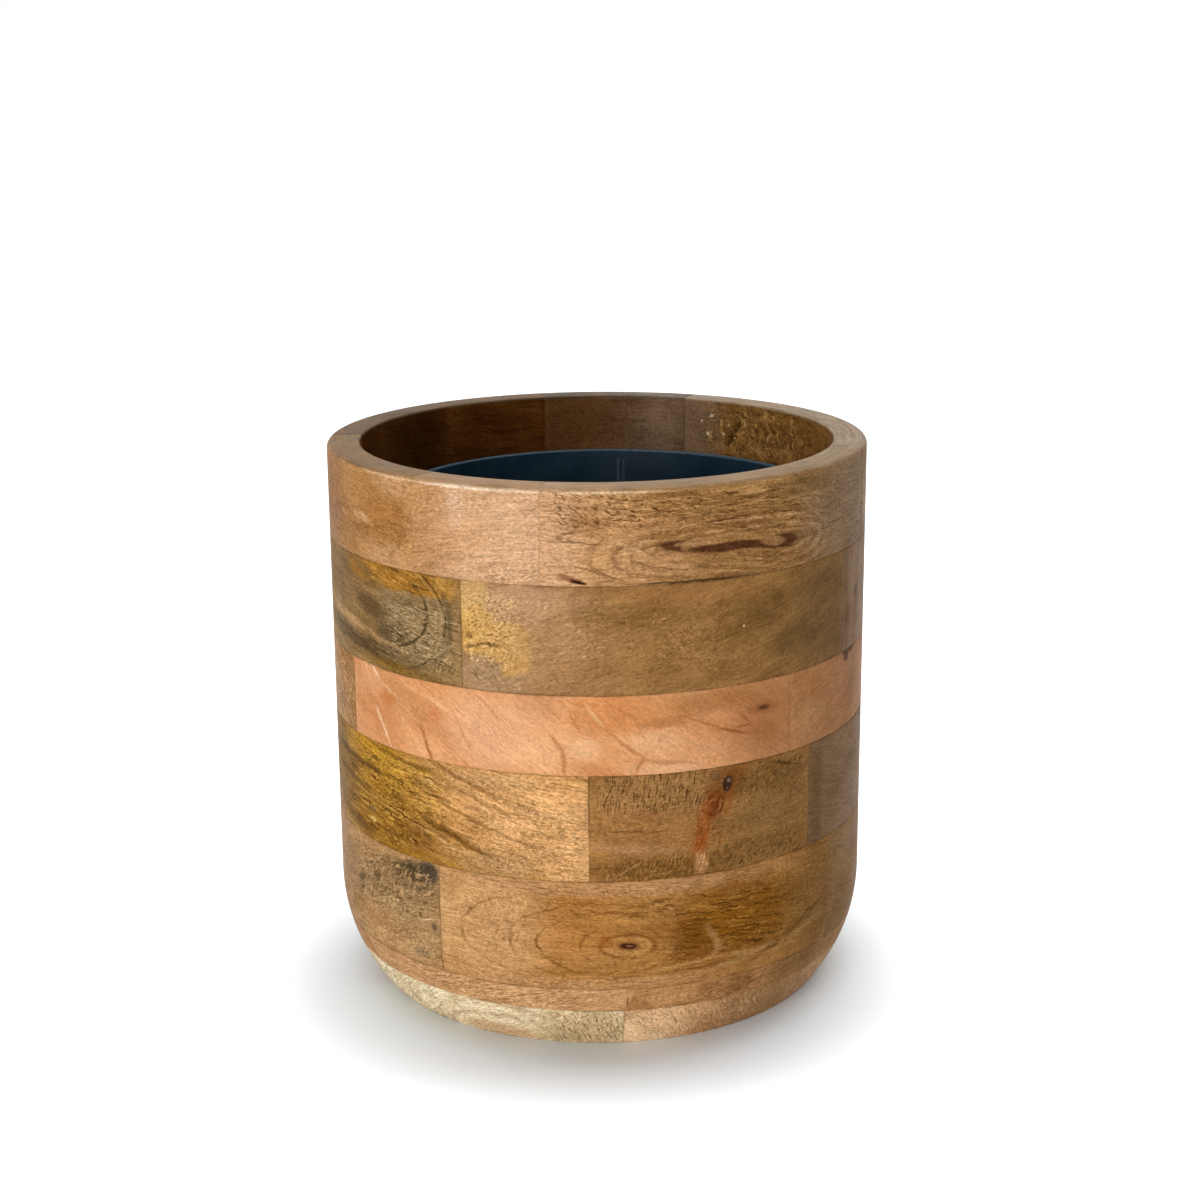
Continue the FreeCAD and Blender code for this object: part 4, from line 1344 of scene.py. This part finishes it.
def shape_section(block, middle):
    """Moves the outer points below the shoulder in to the large rounding."""
    bpy.ops.object.mode_set(mode="OBJECT")
    points = [vertex.co for vertex in block.data.vertices]
    levels = [point.z for point in points if point.x > middle and point.z < SHOULDER]
    for level in levels:
        choose(block, "VERT", lambda point: point.x > middle and abs(point.z - level) < ARRIS)
        bpy.ops.transform.translate(value=(turned_radius(level) - OUTER_RADIUS, 0.0, 0.0))
    bpy.ops.object.mode_set(mode="EDIT")


def model_block(name, low, high, start, end, inner):
    """One arc block: its section is divided, shaped, turned to the joint and spun round the pot's axis."""
    height = high - low
    middle = (OUTER_RADIUS + inner) / 2.0
    deselect_all()
    bpy.ops.mesh.primitive_plane_add(size=1.0, location=ORIGIN)
    block = bpy.context.object
    block.name = name
    block.data.name = name
    bpy.ops.object.mode_set(mode="EDIT")
    bpy.ops.transform.resize(value=(OUTER_RADIUS - inner, height, 1.0), center_override=ORIGIN)
    bpy.ops.transform.rotate(value=math.pi / 2.0, orient_axis="X", center_override=ORIGIN)
    bpy.ops.transform.translate(value=(middle, 0.0, low + height / 2.0))
    rows = round(height / ROW_HEIGHT)
    for beyond in (True, False):
        choose(block, "EDGE", lambda point: (point.x > middle) == beyond)
        bpy.ops.mesh.subdivide(number_cuts=rows - 1)
    shape_section(block, middle)
    bpy.ops.mesh.select_all(action="SELECT")
    bpy.ops.transform.rotate(value=-start, orient_axis="Z", center_override=ORIGIN)
    steps = max(round((end - start) / STEP_ANGLE), 2)
    bpy.ops.mesh.spin(steps=steps, angle=start - end, center=ORIGIN, axis=UPRIGHT)
    bpy.ops.mesh.select_all(action="SELECT")
    bpy.ops.mesh.remove_doubles(threshold=WELD)
    bpy.ops.mesh.normals_make_consistent(inside=False)
    bpy.ops.object.mode_set(mode="OBJECT")
    return block


def round_rim(block, top):
    """Rounds the outer and inner top edges of a rim block."""
    for radius, rounding in ((OUTER_RADIUS, RIM_OUTER_ROUND), (INNER_RADIUS, RIM_INNER_ROUND)):
        choose(
            block,
            "EDGE",
            lambda point: abs(math.hypot(point.x, point.y) - radius) < ARRIS and abs(point.z - top) < ARRIS,
        )
        bpy.ops.mesh.bevel(offset=rounding, segments=ROUND_SEGMENTS, affect="EDGES")
        bpy.ops.object.mode_set(mode="OBJECT")


def ease_arrises(block):
    ease = block.modifiers.new("eased arrises", "BEVEL")
    ease.width = ARRIS
    ease.segments = ARRIS_SEGMENTS
    ease.limit_method = "ANGLE"
    ease.angle_limit = ARRIS_ANGLE
    deselect_all()
    block.select_set(True)
    bpy.context.view_layer.objects.active = block
    bpy.ops.object.modifier_apply(modifier=ease.name)
    bpy.ops.object.shade_smooth_by_angle(angle=SMOOTH_ANGLE)


# Building


def quiet_marks(style, extent, number):
    """Flecks all over a block, long streaks along it and a small knot on every other one."""
    start, end, low, high = extent
    length, height = end - start, high - low
    along, up = (start + end) / 2.0, (low + high) / 2.0
    light, dark = style["tones"]
    pale = tuple(min(level + 24, 255) for level in light)
    lean = 14.0 - 9.0 * number
    marks = [
        cloud(along - 0.3 * length, up, 0.5 * length, height, light, 0.5, 24, lean),
        stain(
            along + 0.25 * length, up - 0.2 * height, 0.4 * length, 0.5 * height,
            dark, 0.35, 24, 0.7, slope=-lean,
        ),
        *flecked(along, up, 1.2 * length, 1.4 * height, pale, dark, 0.5, lean, (6, 1.1), 0.58, 10),
    ]
    for row in (-0.32, -0.05, 0.3):
        left, right = along + (row - 0.4) * length * 0.8, along + (row + 0.3) * length
        height_here = up + row * height
        marks.append(streak((left, height_here), (right, height_here + 0.1 * height), 2.4, dark, 0.5, 9))
    if number % 2:
        knot = along + 0.14 * length, up + 0.08 * height
        for size, amount in ((44.0, 0.45), (31.0, 0.5), (19.0, 0.6)):
            marks.append(oval_line(*knot, size, 0.5 * size, dark, amount, 1.5, 7))
        marks.append(stain(*knot, 9, 5, dark, 0.8))
    return tuple(marks)


def quiet_look(ring, number, extent):
    if ring == "third":
        style = PINK_LOOK
    elif ring == "foot":
        style = PALE_LOOK
    else:
        style = QUIET_LOOKS[(number + len(ring)) % len(QUIET_LOOKS)]
    return {**style, "marks": quiet_marks(style, extent, number)}


def build_ring(ring, seed):
    shares = RINGS[ring]
    closed = (*shares, shares[0] + 1.0)
    inner = FOOT_INNER_RADIUS if ring == "foot" else INNER_RADIUS
    for number, (first, last) in enumerate(zip(closed, closed[1:]), start=1):
        node = f"{ring}_ring_block_{number}"
        corner_low, corner_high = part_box(node)
        low, high = corner_low.z, corner_high.z
        start, end = FRONT + first * FULL_TURN, FRONT + last * FULL_TURN
        block = model_block(f"{node}_wood", low, high, start, end, inner)
        if ring == "rim":
            round_rim(block, high)
        ease_arrises(block)
        middle = (first + last) / 2.0
        if middle > 0.5:
            first, last, middle = first - 1.0, last - 1.0, middle - 1.0
        extent = (first * GIRTH_MM, last * GIRTH_MM, low / MM, high / MM)
        style = LOOKS.get(node) or quiet_look(ring, number, extent)
        block.data.materials.append(
            wood_material(node, style, middle * FULL_TURN, seed + number, extent, inner / MM, ring == "rim")
        )
        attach(block, "pot")
        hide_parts(node)


def dress(node, material):
    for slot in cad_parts[node].material_slots:
        slot.material = material


def dress_planks():
    """The base board keeps its packed planks; each gets its own wood, and no glue at its ends."""
    for number in range(1, PLANK_COUNT + 1):
        node = f"base_plank_{number}"
        corner_low, corner_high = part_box(node)
        style = LOOKS.get(node) or LOOKS["base_plank_2"]
        extent = (-GIRTH_MM, GIRTH_MM, corner_low.z / MM, corner_high.z / MM)
        dress(node, wood_material(node, style, 0.0, PLANK_SEED + number, extent, 0.0))


for order, ring_name in enumerate(RINGS):
    build_ring(ring_name, order * RING_SEED_STEP)
dress_planks()
dress("liner", liner_material())


# Floor, light and camera


def seen_directly(tree):
    """One where a ray from the camera, a reflection or a see-through part meets the surface."""
    path = add_node(tree, "ShaderNodeLightPath").outputs
    direct = calc("MAXIMUM", path["Is Camera Ray"], path["Is Glossy Ray"])
    return calc("MAXIMUM", direct, path["Is Transmission Ray"])


def lay_floor():
    """Pale floor; seen directly it brightens to white away from the pot."""
    deselect_all()
    bpy.ops.mesh.primitive_plane_add(size=FLOOR_SIDE, location=ORIGIN)
    floor = bpy.context.object
    floor.name = "floor"
    material, tree, shader = start_material("pale floor")
    coords = add_node(tree, "ShaderNodeTexCoord").outputs["Object"]
    off = vector_calc("SUBTRACT", coords, FLOOR_MIDDLE)
    away = join_node("ShaderNodeVectorMath", {0: off}, operation="LENGTH")["Value"]
    # Painted glow that fades out towards the pot, trimming how far its shadow reaches
    painted_glow = ramped(away, FLOOR_NEAR, FLOOR_FAR)
    feed_all(
        shader,
        {
            "Base Color": FLOOR_COLOUR,
            "Roughness": FLOOR_ROUGHNESS,
            "Specular IOR Level": FLOOR_GLOSS,
            "Emission Color": WHITE,
            "Emission Strength": times(seen_directly(tree), painted_glow),
        },
    )
    floor.data.materials.append(material)


def light_room():
    """Even room light; seen directly it is plain white."""
    world = bpy.data.worlds.new("room")
    bpy.context.scene.world = world
    world.use_nodes = True
    tree = world.node_tree
    level = plus(ROOM_LEVEL, times(seen_directly(tree), 1.0 - ROOM_LEVEL))
    feed_all(tree.nodes["Background"].inputs, {"Color": WHITE, "Strength": level})


def hang_light(name, place, width, depth, power, colour):
    lamp = bpy.data.lights.new(name, "AREA")
    lamp.shape = "RECTANGLE"
    lamp.size = width
    lamp.size_y = depth
    lamp.energy = power
    lamp.color = colour
    holder = bpy.data.objects.new(name, lamp)
    bpy.context.scene.collection.objects.link(holder)
    holder.location = place
    holder.rotation_euler = (LAMP_AIM - Vector(place)).to_track_quat("-Z", "Y").to_euler()


def set_camera():
    lens = bpy.data.cameras.new("camera")
    lens.lens = LENS_MM
    lens.sensor_width = SENSOR_MM
    lens.shift_x = CAMERA_SHIFT
    camera = bpy.data.objects.new("camera", lens)
    bpy.context.scene.collection.objects.link(camera)
    pitch = Matrix.Rotation(CAMERA_PITCH, 4, "X")
    roll = Matrix.Rotation(CAMERA_ROLL, 4, "Z")
    camera.matrix_world = Matrix.Translation(CAMERA_PLACE) @ pitch @ roll
    bpy.context.scene.camera = camera


lay_floor()
light_room()
for lamp_name, lamp_values in LAMPS.items():
    hang_light(lamp_name, **lamp_values)
set_camera()
bpy.context.scene.view_settings.view_transform = "Standard"
